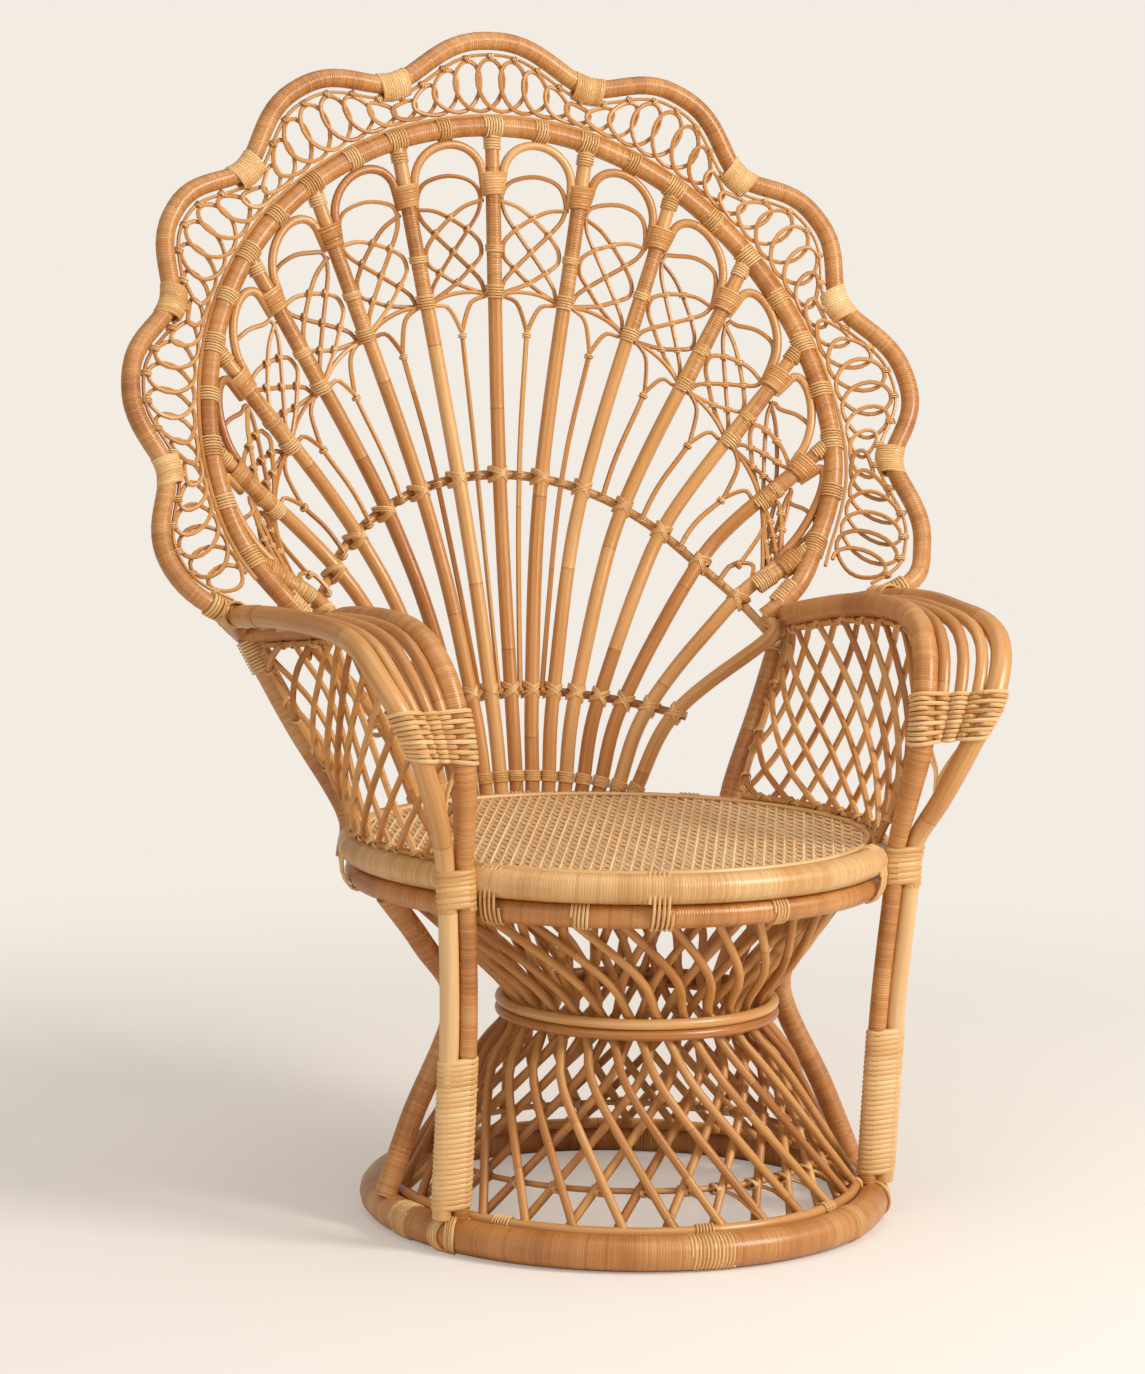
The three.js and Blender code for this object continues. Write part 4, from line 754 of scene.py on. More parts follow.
def hoop_distance(place):
    """How far along its ray a spoke meets the hoop, found by halving."""
    low, high = 0.0, HOOP_END
    for _ in range(HALVINGS):
        middle = (low + high) / 2
        p = hoop_at(middle)
        if atan2(p.x, p.y - FAN_Z) < abs(fan_angle(place)):
            low = middle
        else:
            high = middle
    p = hoop_at(low)
    return hypot(p.x, p.y - FAN_Z)


def low_arch_z(x):
    return LOW_ARCH_Z - LOW_ARCH_SAG * (x / (LOW_ARCH_PITCH * SPOKE_PAIRS)) ** 2


def spoke_flat(place, tip):
    low_x = LOW_ARCH_PITCH * place
    knots = [Vector((SPOKE_FOOT * place, SEAT_Z + 0.012, 0)), Vector((low_x, low_arch_z(low_x), 0)),
             ray(place, ARCH_R).to_3d(), tip.to_3d()]
    return [p.to_2d() for p in bend(knots, 40)]


spoke_routes = {}
for place in range(-SPOKE_PAIRS, SPOKE_PAIRS + 1):
    end = hoop_at(HOOP_END)
    tip = ray(place, hoop_distance(place)) if abs(place) < SPOKE_PAIRS else Vector(
        (end.x * (1 if place > 0 else -1), end.y))
    spoke_routes[place] = laid(spoke_flat(place, tip))
spoke_names = [f"spoke_{k}_{side}" for k in range(1, SPOKE_PAIRS + 1) for side in ("left", "right")]
finish_piece(canes("spokes", list(spoke_routes.values()), SPOKE_TUBE, 3), pole_skin, "natural_cane",
             "spoke_middle", *spoke_names)

# %% [markdown]
# Two thinner canes run behind all the spokes and keep their spacing: a round arch half way up, and
# a flatter one close over the seat.

# %% Arches behind the spokes
UPPER_ARCH_TUBE, LOW_ARCH_TUBE, ARCH_ROOM, ARCH_DEGREES = 0.0060, 0.0055, 0.0006, 67.5
upper_arch = [on_back(ARCH_R * sin(radians(a)), FAN_Z + ARCH_R * cos(radians(a)),
                      SPOKE_TUBE + UPPER_ARCH_TUBE + ARCH_ROOM)
              for a in span(-ARCH_DEGREES, ARCH_DEGREES, 60)]
low_reach = LOW_ARCH_PITCH * SPOKE_PAIRS + 0.010
lower_arch = [on_back(x, low_arch_z(x), SPOKE_TUBE + LOW_ARCH_TUBE + ARCH_ROOM)
              for x in span(-low_reach, low_reach, 40)]
finish_piece(canes("upper_arch_cane", [upper_arch], UPPER_ARCH_TUBE, 2), pole_skin, "natural_cane",
             "upper_arch")
finish_piece(canes("lower_arch_cane", [lower_arch], LOW_ARCH_TUBE, 2), pole_skin, "natural_cane",
             "lower_arch")

# %% [markdown]
# ## Petals
# Between each pair of spokes a cane is bent over a round form into an arch that touches the hoop,
# and its feet are tucked beside the spokes. A half ellipse drawn across the cell, from one spoke's
# side to the next, gives the same shape.

# %% Petals
COLLARED = range(1 - SPOKE_PAIRS, SPOKE_PAIRS)
CELLS = range(1 - SPOKE_PAIRS, SPOKE_PAIRS - 1)
reach_of = {place: hoop_distance(place) for place in COLLARED}


def collar_at(place):
    return COLLAR_SHARE * reach_of[place]


def lower_collar_at(place):
    return LOWER_COLLAR_SHARES[abs(place)] * reach_of[place]


def side_turn(distance, step):
    return step / distance / radians(FAN_STEP)


def cell_point(place, share, distance, behind=0.0):
    p = ray(place + share, distance)
    return on_back(p.x, p.y, behind)


def bow_between(place, low, high, aside, crest, tail):
    """A bent cane from one spoke's side up to a crest and down to the next spoke's side."""
    start, end = side_turn(low, aside), 1 - side_turn(high, aside)
    tucked = side_turn(low, aside * 0.72)
    rise = crest - (low + high) / 2
    points = [cell_point(place, tucked, low - tail, TAIL_BACK)]
    for angle in span(0, pi, 24):
        across = (1 - cos(angle)) / 2
        distance = low + (high - low) * across + rise * sin(angle)
        points.append(cell_point(place, start + (end - start) * across, distance))
    return points + [cell_point(place, 1 - tucked, high - tail, TAIL_BACK)]


petals = []
for place in CELLS:
    crest = hoop_distance(place + 0.5) - HOOP_TUBE - PETAL_TUBE - 0.0006
    petals.append(bow_between(place, collar_at(place) + 0.010, collar_at(place + 1) + 0.010,
                              SPOKE_TUBE + PETAL_TUBE * 0.8, crest, 0.024))
finish_piece(canes("petals", petals, PETAL_TUBE, 2), pole_skin, "natural_cane", "petal_garland")

# %% [markdown]
# Broad collars of pale turns hold the petals' feet to each spoke, a little wider at the top where
# the feet still stand off. Below them fine peel covers the spoke as far as the lower tie, and above
# them a narrow tie sits right under the hoop.

# %% Collars and wrapped stretches
PETAL_STRIP, PETAL_STRIP_PITCH, STRIP_POINTS = 0.0022, 0.0034, 18
petal_collars, wrapped_stretches = [], []
for place in COLLARED:
    collar = collar_at(place)
    run = [cell_point(place, 0, collar + step) for step in span(-COLLAR_HALF, COLLAR_HALF, 6)]
    beside = (cell_point(place, 0.1, collar) - cell_point(place, 0, collar)).normalized()
    out = (run[-1] - run[0]).normalized().cross(beside).normalized()
    steps = int(length_of(run) / PETAL_STRIP_PITCH * STRIP_POINTS)
    helix = []
    for k in range(steps + 1):
        turn = 2 * pi * k / STRIP_POINTS
        wide = 0.0116 + 0.0042 * (k / steps) ** 1.3
        helix.append(run[0].lerp(run[-1], k / steps) + beside * wide * cos(turn)
                     + out * (SPOKE_TUBE + 0.0016) * sin(turn))
    petal_collars.append(helix)
    wrapped_stretches.append([cell_point(place, 0, d) for d in span(lower_collar_at(place), collar, 10)])
finish_piece(canes("petal_collars", petal_collars, PETAL_STRIP, 1), collar_peel, "pale_binding")
finish_piece(canes("spoke_wraps", wrapped_stretches, SPOKE_TUBE + 0.0007, 3), spoke_wrap, "wrapped_cane")

# %% [markdown]
# ## The fine lattice
# Each cell between two spokes holds four thin strands. A ribbon strand leaves one lower tie, crosses
# the cell, runs up beside the other spoke, arches over under the petal and comes back the mirrored
# way. Two turning strands leave the collars, cross to the other spoke half way down and come back
# to their own side, and a short one joins the two lower ties. Their ways are given as shares: first
# across the cell, then down from the collar to the lower tie. A strand lies in front while it rises
# to the right and behind while it falls, and a tiny tie of two turns holds each crossing. Under them
# two strands from the lower ties meet in a fork and run on as one stake.

# %% Lattice strands
FRONT_LAYER, BACK_LAYER, STRAND_TUBE, ARCH_RISE = 0.0045, 0.0102, 0.0029, 0.016
RIBBON_SHARES = [(0.10, 1.0), (0.17, 0.85), (0.45, 0.58), (0.71, 0.31), (0.84, 0.13), (0.86, -0.05)]
TURNING_SHARES = [(0.10, 0.02), (0.32, 0.07), (0.50, 0.17), (0.70, 0.31), (0.84, 0.44), (0.875, 0.54),
                  (0.83, 0.63), (0.70, 0.73), (0.47, 0.88), (0.12, 1.01)]
TURN_BACK, KNOT_HALF, KNOT_PITCH, ARCH_DROP = 5, 0.0026, 0.0022, 0.007
LOWER_SHARES = [(0.06, 1.04), (0.28, 0.99), (0.5, 0.975), (0.72, 0.99), (0.94, 1.04)]
CROSSING_SHARES = [(0.5, 0.17), (0.30, 0.31), (0.70, 0.31), (0.5, 0.53), (0.29, 0.73), (0.71, 0.73),
                   (0.5, 0.865)]
MID_LAYER = (FRONT_LAYER + BACK_LAYER) / 2
lattice, lattice_ties = [], []


def bound_at(place, share):
    top = collar_at(place) - COLLAR_HALF - 0.002
    return top + (lower_collar_at(place) - top) * share


def in_cell(place, across, down, layer):
    distance = bound_at(place, down) * (1 - across) + bound_at(place + 1, down) * across
    return cell_point(place, across, distance, layer)


def knot(centre, ahead, wide=0.0052):
    """A tiny tie of two turns round a crossing."""
    step = (ahead - centre).normalized() * KNOT_HALF
    return winding([centre - step, centre, centre + step], wide, wide, KNOT_PITCH, per_turn=10)


for place in CELLS:
    crest = (collar_at(place) + collar_at(place + 1)) / 2 + ARCH_RISE
    rising = [in_cell(place, across, down, FRONT_LAYER) for across, down in RIBBON_SHARES]
    falling = [in_cell(place, 1 - across, down, BACK_LAYER) for across, down in reversed(RIBBON_SHARES)]
    over = [cell_point(place, 0.75, crest - ARCH_DROP, FRONT_LAYER),
            cell_point(place, 0.5, crest, FRONT_LAYER),
            cell_point(place, 0.25, crest - ARCH_DROP, BACK_LAYER)]
    lattice.append(bend([*rising, *over, *falling], 60))
    for flipped in (False, True):
        turning = []
        for k, (across, down) in enumerate(TURNING_SHARES):
            in_front = (k > TURN_BACK) != flipped
            turning.append(in_cell(place, 1 - across if flipped else across, down,
                                   FRONT_LAYER if in_front else BACK_LAYER))
        lattice.append(bend(turning, 36))
    lattice.append(bend([in_cell(place, across, down, FRONT_LAYER) for across, down in LOWER_SHARES], 14))
    for across, down in CROSSING_SHARES:
        centre = in_cell(place, across, down, MID_LAYER)
        lattice_ties.append(knot(centre, in_cell(place, across + 0.04, down + 0.04, MID_LAYER)))
print("strands", len(lattice), "and ties", len(lattice_ties), "in", len(CELLS), "cells")

# %% Forks and their stakes
FORK_DROP, FORK_OVER_ARCH, STAKE_UP_TUBE, STAKE_TIE_BACK = 0.046, 0.035, 0.0033, 0.0100
stakes_up = []
for place in CELLS:
    mean_low = (lower_collar_at(place) + lower_collar_at(place + 1)) / 2
    fork = max(mean_low - FORK_DROP, ARCH_R + FORK_OVER_ARCH)
    tip = cell_point(place, 0.5, fork, FRONT_LAYER)
    for step in (0, 1):
        start = lower_collar_at(place + step)
        shoulder = cell_point(place, 0.86 if step else 0.14, start - 0.006, FRONT_LAYER)
        knee = cell_point(place, 0.66 if step else 0.34, (start + fork) / 2 + 0.010, FRONT_LAYER)
        lattice.append(bend([cell_point(place, step, start, FRONT_LAYER), shoulder, knee, tip,
                             cell_point(place, 0.5, fork - 0.006, FRONT_LAYER)], 12))
    lattice_ties.append(knot(cell_point(place, 0.5, fork - 0.004, FRONT_LAYER),
                             cell_point(place, 0.5, fork - 0.014, FRONT_LAYER), 0.0050))
    middle = place + 0.5
    flat = spoke_flat(middle, ray(middle, fork + 0.003))
    reaches_low = abs(middle) < 2
    floor_z = low_arch_z(LOW_ARCH_PITCH * middle) - 0.010 if reaches_low else ray(middle, ARCH_R - 0.010).y
    stakes_up.append([on_back(p.x, p.y, FRONT_LAYER) for p in flat if p.y > floor_z])
    crossings = [ray(middle, ARCH_R)]
    if reaches_low:
        crossings.append(Vector((LOW_ARCH_PITCH * middle, low_arch_z(LOW_ARCH_PITCH * middle))))
    for p in crossings:
        here, ahead = on_back(p.x, p.y, STAKE_TIE_BACK), ray(middle, hypot(p.x, p.y - FAN_Z) + 0.01)
        axis = (on_back(ahead.x, ahead.y, STAKE_TIE_BACK) - here).normalized()
        lattice_ties.append(winding([here - axis * 0.004, here, here + axis * 0.004], wide=0.0050,
                                    deep=0.0125, pitch=0.0026,
                                    across=axis.cross(Vector((0, 1, 0))).normalized()))
finish_piece(canes("lattice_strands", lattice, STRAND_TUBE, 1), thin_core, "thin_cane", "fan_lattice")
finish_piece(canes("fan_stakes", stakes_up, STAKE_UP_TUBE, 1), thin_core, "thin_cane")
finish_piece(canes("lattice_ties", lattice_ties, FINE_STRIP, 0), pale_peel, "pale_binding")
print("lattice strands", len(lattice) + len(stakes_up), "ties", len(lattice_ties))

# %% [markdown]
# ## Ties of the fan
# Wherever two canes cross or meet, a strip of peel holds them: over both arches, at the lower end
# of the wrapped stretch, under the hoop and round it, and at the spokes' feet on the seat ring.

# %% Ties on the spokes and arches
SPOKE_STRIP, CROSS_STRIP, ARCH_TIE_BACK = 0.0015, 0.0013, 0.0070


def ring_tie(route, centre, half, radius, pitch, per_turn=12):
    """A few round turns on a cane, half to each side of a place on it."""
    return winding(along(route, centre, half), radius, radius, pitch, per_turn)


ties, crossed = [], []
for place, route in spoke_routes.items():
    if abs(place) < SPOKE_PAIRS:
        under_hoop = cell_point(place, 0, reach_of[place] - 0.020)
        ties.append(ring_tie(route, under_hoop, 0.0075, SPOKE_TUBE + 0.0010, 0.0034))
        lower_tie = cell_point(place, 0, lower_collar_at(place))
        ties.append(ring_tie(route, lower_tie, 0.0085, SPOKE_TUBE + 0.0016, 0.0034))
        half_way = cell_point(place, 0, bound_at(place, 0.54))
        ties.append(ring_tie(route, half_way, 0.0045, SPOKE_TUBE + 0.0012, 0.0030))
    foot = route[1] + (route[2] - route[1]) * 0.2
    ties.append(ring_tie(route, foot, 0.006, SPOKE_TUBE + 0.0008, 0.0026))
    low_x = LOW_ARCH_PITCH * place
    places = [Vector((low_x, low_arch_z(low_x)))]
    if abs(place) < SPOKE_PAIRS:
        places.append(ray(place, ARCH_R))
    for p in places:
        centre = on_back(p.x, p.y, ARCH_TIE_BACK)
        best = min(range(1, len(route) - 1), key=lambda k: (route[k] - centre).length)
        axis = (route[best + 1] - route[best - 1]).normalized()
        out = (on_back(p.x, p.y, 0.01) - on_back(p.x, p.y)).normalized()
        crossed += cross_tie(centre, axis, out, wide=SPOKE_TUBE + 0.0016, deep=SPOKE_TUBE + 0.0072,
                             slant=0.0075, strands=3, gap=0.0025)
finish_piece(canes("spoke_ties", ties, SPOKE_STRIP, 1), pale_peel, "pale_binding")
finish_piece(canes("arch_cross_ties", crossed, CROSS_STRIP, 1, closed=True), pale_peel, "pale_binding")

# %% Ties round the hoop
HOOP_STRIP, HOOP_TIE_R, HOOP_TIE_PITCH = 0.0014, HOOP_TUBE + 0.0008, 0.0036
hoop_places = [(ray(place, reach_of[place]), 0.012) for place in COLLARED]
hoop_places += [(ray(place + 0.5, hoop_distance(place + 0.5)), 0.009) for place in CELLS]
hoop_ties = [ring_tie(hoop_route, on_back(p.x, p.y), half, HOOP_TIE_R, HOOP_TIE_PITCH, 16)
             for p, half in hoop_places]
finish_piece(canes("hoop_ties", hoop_ties, HOOP_STRIP, 1), pale_peel, "pale_binding")

# %% Bindings of the spokes' feet on the seat ring
foot_ties = []
for place in range(-SPOKE_PAIRS, SPOKE_PAIRS + 1):
    turn = turn_of(spoke_routes[place][0], SEAT_BACK)
    foot_ties.append(ring_binding(SEAT_R, SEAT_Z, SEAT_BACK, turn * 180 / pi, length=0.009,
                                  wide=SEAT_TUBE + 0.0005, deep=SEAT_TUBE + 0.0005, pitch=0.0034))
finish_piece(canes("spoke_foot_bindings", foot_ties, TIE_STRIP, 1), pale_peel, "pale_binding")

# %% [markdown]
# ## Arms
# Each arm is two poles that leave the upright together, spread over the side as an armrest, and
# bend down side by side as the front post. Three thinner canes fill the gap between them, and a
# woven band gathers all five. The outer pole is bound with peel over its back third only.

# %% Arm runs
ARM_REACH, ARM_BACK, ARM_FRONT, ARM_TOP = 0.417, 0.346, 0.212, 0.704
INNER_SHARES = [(0.873, 1, 0.81), (0.741, 0.771, 0.874), (0.763, 0.541, 0.962), (0.753, 0.308, 1),
                (0.734, 0.165, 0.962), (0.71, 0.093, 0.832), (0.691, 0.063, 0.679), (0.676, 0.048, 0.489),
                (0.657, 0.066, 0.26)]
OUTER_SHARES = [(0.873, 1, 0.81), (0.997, 0.771, 0.925), (0.985, 0.51, 0.985), (0.945, 0.29, 0.985),
                (0.935, 0.13, 0.95), (0.915, 0.05, 0.845), (0.855, 0, 0.645), (0.803, 0.011, 0.469),
                (0.74, 0.045, 0.22)]
POST_STEP, POST_TUBE, RAIL_TUBE, OUTER_TUBE, UPRIGHT_TUBE = 0.022, 0.0108, 0.0145, 0.0125, 0.014
POST_INSET, POST_FORWARD, POST_WAIST_FORWARD, POST_FOOT_FORWARD = 0.042, 0.157, 0.1451, 0.126
POST_FOOT_OUT, POST_FOOT_Z, POST_SWELL = 0.004, 0.040, 0.10
UPRIGHT = [(0.253, 0.270, 0.387), (0.253, 0.270, 0.442), (0.3085, 0.308, 0.548), (0.364, 0.346, 0.664)]
BOUND_FROM, LIGHT_BELOW, PEEL_THICK, LIGHT_THICK = 0.115, 0.400, 0.0007, 0.0004
SIDES = ((-1, "left"), (1, "right"))


def arm_point(share):
    return Vector((ARM_REACH * share[0], BASE_Y - ARM_FRONT + (ARM_BACK + ARM_FRONT) * share[1],
                   SEAT_TOP + (ARM_TOP - SEAT_TOP) * share[2]))


def rail_knots(shares, step):
    seat_x = SEAT_R - POST_INSET + step
    foot_x = sqrt((BASE_R + POST_FOOT_OUT) ** 2 - POST_FOOT_FORWARD ** 2) - POST_STEP / 2 + step
    post = [Vector((seat_x, BASE_Y - POST_FORWARD, SEAT_TOP)),
            Vector((seat_x - POST_STEP / 6, BASE_Y - POST_FORWARD, LOW_SEAT_Z)),
            Vector(((seat_x + foot_x) / 2 - POST_STEP / 4, BASE_Y - POST_WAIST_FORWARD, WAIST_Z)),
            Vector((foot_x, BASE_Y - POST_FOOT_FORWARD, POST_FOOT_Z))]
    return [arm_point(share) for share in shares] + post


def rail_radii(route, thick):
    """The rail's thickness as an arm, falling to the post's below the armrest."""
    values = []
    for p in route:
        share = min(max((p.z - SEAT_TOP) / POST_SWELL, 0), 1) if p.y < BASE_Y else 1.0
        values.append((POST_TUBE + (thick - POST_TUBE) * share) / thick)
    return values


inner_rail = bend(rail_knots(INNER_SHARES, 0.0), 110)
outer_rail = bend(rail_knots(OUTER_SHARES, POST_STEP), 110)
upright = bend([Vector((x, BASE_Y + y, z)) for x, y, z in UPRIGHT], 30)
outer_back = [p for p in outer_rail if p.y > BASE_Y + BOUND_FROM]
outer_low = [p for p in outer_rail if p.z < LIGHT_BELOW]
for side, word in SIDES:
    inner, outer = mirror(inner_rail, side), mirror(outer_rail, side)
    inner_radii, outer_radii = rail_radii(inner, RAIL_TUBE), rail_radii(outer, OUTER_TUBE)
    finish_piece(canes(f"inner_rail_{word}_bent", [inner], RAIL_TUBE, 4, radii=inner_radii), peel_wrap,
                 "wrapped_cane", f"inner_rail_{word}")
    finish_piece(canes(f"outer_rail_{word}_bent", [outer], OUTER_TUBE, 4, radii=outer_radii), pole_skin,
                 "natural_cane", f"outer_rail_{word}")
    finish_piece(canes(f"outer_rail_wrap_{word}", [mirror(outer_back, side)], OUTER_TUBE + PEEL_THICK, 4),
                 peel_wrap, "wrapped_cane")
    finish_piece(canes(f"outer_post_light_{word}", [mirror(outer_low, side)], POST_TUBE + LIGHT_THICK, 4),
                 light_pole, "natural_cane")
    finish_piece(canes(f"back_upright_{word}_wrapped", [mirror(upright, side)], UPRIGHT_TUBE, 4), peel_wrap,
                 "wrapped_cane", f"back_upright_{word}")

# %% [markdown]
# Three fill canes run between the rails, as points part of the way from one to the other. The band
# is eleven rows of flat weaving: each strip passes in front of one cane and behind the next, turns
# round the outer rail and comes back the other way, so it is one closed loop through given places.
# Four loose ends of peel hang down from it between the posts.

# %% Fill canes and woven band
def at_height(route, height):
    fronts = [k for k, p in enumerate(route) if p.y < BASE_Y]
    return min(fronts, key=lambda k: abs(route[k].z - height))


BAND_TOP_Z, BAND_LOW_Z, BAND_ROWS, DIAGONAL = 0.622, 0.566, 11, 0.71
FILL_TUBE, FILL_FROM, FILLS, STRIP, TAIL_TUBE = 0.0074, 9, (1, 2, 3), 0.0026, 0.0019
TAILS = ((0.10, 0), (0.22, 0.006), (0.90, 0), (0.78, 0.006))
band_top, band_low = at_height(inner_rail, BAND_TOP_Z), at_height(inner_rail, BAND_LOW_Z)


def band_row(inner, outer, row):
    """One row of the band: over and under the fill canes, round the outer rail and back."""
    level_at = band_top + (band_low - band_top) * row / (BAND_ROWS - 1)
    k = int(level_at)
    a, b = inner[k].lerp(inner[k + 1], level_at - k), outer[k].lerp(outer[k + 1], level_at - k)
    down = (inner[k + 1] - inner[k]).normalized()
    out = (b - a).cross(down).normalized()
    across = (b - a).normalized()
    near, far = RAIL_TUBE + STRIP * 0.7, OUTER_TUBE + STRIP * 0.7
    over = [out * (FILL_TUBE + STRIP * 0.8) * (1 if (i + row) % 2 else -1) for i in FILLS]
    crossed_at = [a.lerp(b, i / 4) for i in FILLS]
    loop = [a - across * near, a + (out - across) * near * DIAGONAL, a + out * near]
    loop += [p + way for p, way in zip(crossed_at, over)]
    loop += [b + out * far, b + (out + across) * far * DIAGONAL, b + across * far,
             b + (across - out) * far * DIAGONAL, b - out * far]
    loop += [p - way for p, way in reversed(list(zip(crossed_at, over)))]
    loop += [a - out * near, a - (out + across) * near * DIAGONAL]
    return bend([*loop, loop[0]], 60)[:-1]


for side, word in SIDES:
    inner, outer = mirror(inner_rail, side), mirror(outer_rail, side)
    fills = [[inner[k].lerp(outer[k], i / 4) for k in range(FILL_FROM, band_low + 1, 2)] for i in FILLS]
    finish_piece(canes(f"arm_fill_{word}", fills, FILL_TUBE, 3), pole_skin, "natural_cane",
                 f"arm_weave_{word}")
    rows = [band_row(inner, outer, row) for row in range(BAND_ROWS)]
    finish_piece(canes(f"arm_band_{word}", rows, STRIP, 1, closed=True), pale_peel, "pale_binding")
    start, stop = inner[band_low + 1], outer[band_low + 1]
    low = (start + stop) / 2 + (inner[band_low + 6] - start)
    hanging = []
    for near, drop in TAILS:
        half_way = start.lerp(stop, 0.5 - (0.5 - near) * 0.5).lerp(low, 0.5)
        hanging.append(bend([start.lerp(stop, near), half_way, low + Vector((0, 0, drop))], 12))
    finish_piece(canes(f"band_tails_{word}", hanging, TAIL_TUBE, 1), pale_peel, "pale_binding")

# %% [markdown]
# The posts are lashed together from the foot ring up to the waist, again where they pass the seat,
# and a crossed strip ties each pair to the base ring. Four more bindings hold the back of the arm:
# round the frame's end, the outer rail beside it, the hoop's end and the upper part of the upright.

# %% Lashings of the posts
LASH_HEIGHTS, LASH_TUBE, LASH_SINK = ((0.050, 0.225), (0.383, 0.437)), 0.0046, 0.0019
BASE_TIE_TUBE, BASE_TIE_ROOM = 0.0017, 0.0012
for side, word in SIDES:
    inner, outer = mirror(inner_rail, side), mirror(outer_rail, side)
    lashes = []
    for low, high in LASH_HEIGHTS:
        pair = [k for k, p in enumerate(inner) if p.y < BASE_Y and low < p.z < high]
        run = [(inner[k] + outer[k]) / 2 for k in pair]
        lashes.append(winding(run, wide=POST_STEP / 2 + POST_TUBE - LASH_SINK, deep=POST_TUBE - LASH_SINK,
                              pitch=0.0060, per_turn=24, across=Vector((1, 0, 0))))
    finish_piece(canes(f"post_lashing_{word}", lashes, LASH_TUBE, 2), pale_peel, "pale_binding",
                 f"post_binding_{word}")
    foot_turn = turn_of((inner[-1] + outer[-1]) / 2)
    ring_way, outward = Vector((cos(foot_turn), sin(foot_turn), 0)), Vector((0, 0, 1))
    foot_ties = cross_tie(around_axis(BASE_R, foot_turn, 0, BASE_TUBE), ring_way, outward,
                          wide=BASE_TUBE + BASE_TIE_ROOM, deep=BASE_TUBE + BASE_TIE_ROOM, slant=0.013,
                          strands=4, gap=0.0036, per_turn=24)
    kept_off_floor(foot_ties, BASE_TIE_TUBE)
    finish_piece(canes(f"base_cross_ties_{word}", foot_ties, BASE_TIE_TUBE, 1, closed=True), pale_peel,
                 "pale_binding")

# %% Lashings of the arm roots
ROOT_TUBE, FRAME_LASH, UPRIGHT_LASH_AT = 0.0019, 0.036, 26
for side, word in SIDES:
    outer, upright_side = mirror(outer_rail, side), mirror(upright, side)
    frame_end, hoop_end = (route if side < 0 else route[::-1] for route in (frame_route, hoop_route))
    end_run = [p for p in frame_end[:12] if (p - frame_end[0]).length < FRAME_LASH]
    root_ties = [
        winding(end_run, FRAME_TUBE + 0.0018, FRAME_TUBE + 0.0018, 0.0042, per_turn=16),
        ring_tie(outer, frame_end[0], 0.020, OUTER_TUBE + 0.0022, 0.0042, 16),
        ring_tie(hoop_route, hoop_end[0].lerp(hoop_end[6], 0.6), 0.016, HOOP_TUBE + 0.0012, 0.0038, 16),
        ring_tie(upright_side, upright_side[UPRIGHT_LASH_AT], 0.022, UPRIGHT_TUBE + 0.0016, 0.0042, 16),
    ]
    finish_piece(canes(f"arm_root_ties_{word}", root_ties, ROOT_TUBE, 1), pale_peel, "pale_binding")

# %% [markdown]
# ## Side panels
# Under each arm a net of thin canes hangs in a border: slanting strands in two layers make long
# diamonds. The panel is drawn by blending its four edges, so it follows the seat's curve below and
# the arm's bend above.

# %% Side panels' edges
REACH, PANEL_FOOT_Z, PANEL_ROOT_GAP, PANEL_LIFT = RAIL_TUBE + 0.0036, 0.50, 0.040, 0.0030
BESIDE_UPRIGHT = Vector((0, 0.021, 0))
rail_arm = [p for k, p in enumerate(inner_rail)
            if p.z > SEAT_TOP + 0.02 and (p.y > BASE_Y or k <= at_height(inner_rail, PANEL_FOOT_Z))]


def inset_point(route, k):
    ahead = route[min(k + 1, len(route) - 1)] - route[max(k - 1, 0)]
    return route[k] + Vector((1, 0, 0)).cross(ahead).normalized() * REACH


rail_inset = [inset_point(rail_arm, k) for k in range(len(rail_arm))]
bend_at = at_height(rail_arm, ARM_TOP - 2 * RAIL_TUBE)
top_edge = [p for p in rail_inset[:bend_at + 1] if p.y < BASE_Y + ARM_BACK - PANEL_ROOT_GAP]
front_edge = list(reversed(rail_inset[bend_at:]))
back_turn = atan2(UPRIGHT[0][1] - SEAT_BACK, UPRIGHT[0][0]) - 2.2 * UPRIGHT_TUBE / SEAT_R
front_turn = atan2(front_edge[0].y - BASE_Y - SEAT_BACK, front_edge[0].x) + POST_TUBE / SEAT_R
bottom_edge = [Vector((SEAT_R * cos(a), BASE_Y + SEAT_BACK + SEAT_R * sin(a), SEAT_TOP + PANEL_LIFT))
               for a in span(back_turn, front_turn, 16)]
front_edge = [bottom_edge[-1]] + front_edge
beside_upright = [p - BESIDE_UPRIGHT for p in upright if SEAT_TOP + 0.03 < p.z < top_edge[0].z - 0.02]
rear_edge = evenly([bottom_edge[0], *beside_upright, top_edge[0]], 16)
front_edge, top_edge = evenly(front_edge, 16), evenly(top_edge, 24)
print("panel edges", [round(length_of(edge), 3) for edge in (bottom_edge, top_edge, rear_edge, front_edge)])


# %% Side panels' strands
def pick(route, share):
    """The place at a share of a run."""
    place = min(max(share, 0), 1) * (len(route) - 1)
    k = min(int(place), len(route) - 2)
    return route[k].lerp(route[k + 1], place - k)


def on_panel(u, w, layer):
    """A place on the panel: u runs forward, w up, and layer stands off it sideways."""
    mixed = (pick(rear_edge, w) * (1 - u) + pick(front_edge, w) * u + pick(bottom_edge, u) * (1 - w)
             + pick(top_edge, u) * w)
    corners = (bottom_edge[0] * (1 - u) * (1 - w) + bottom_edge[-1] * u * (1 - w) + top_edge[0] * (1 - u) * w
               + top_edge[-1] * u * w)
    return mixed - corners + Vector((layer, 0, 0))


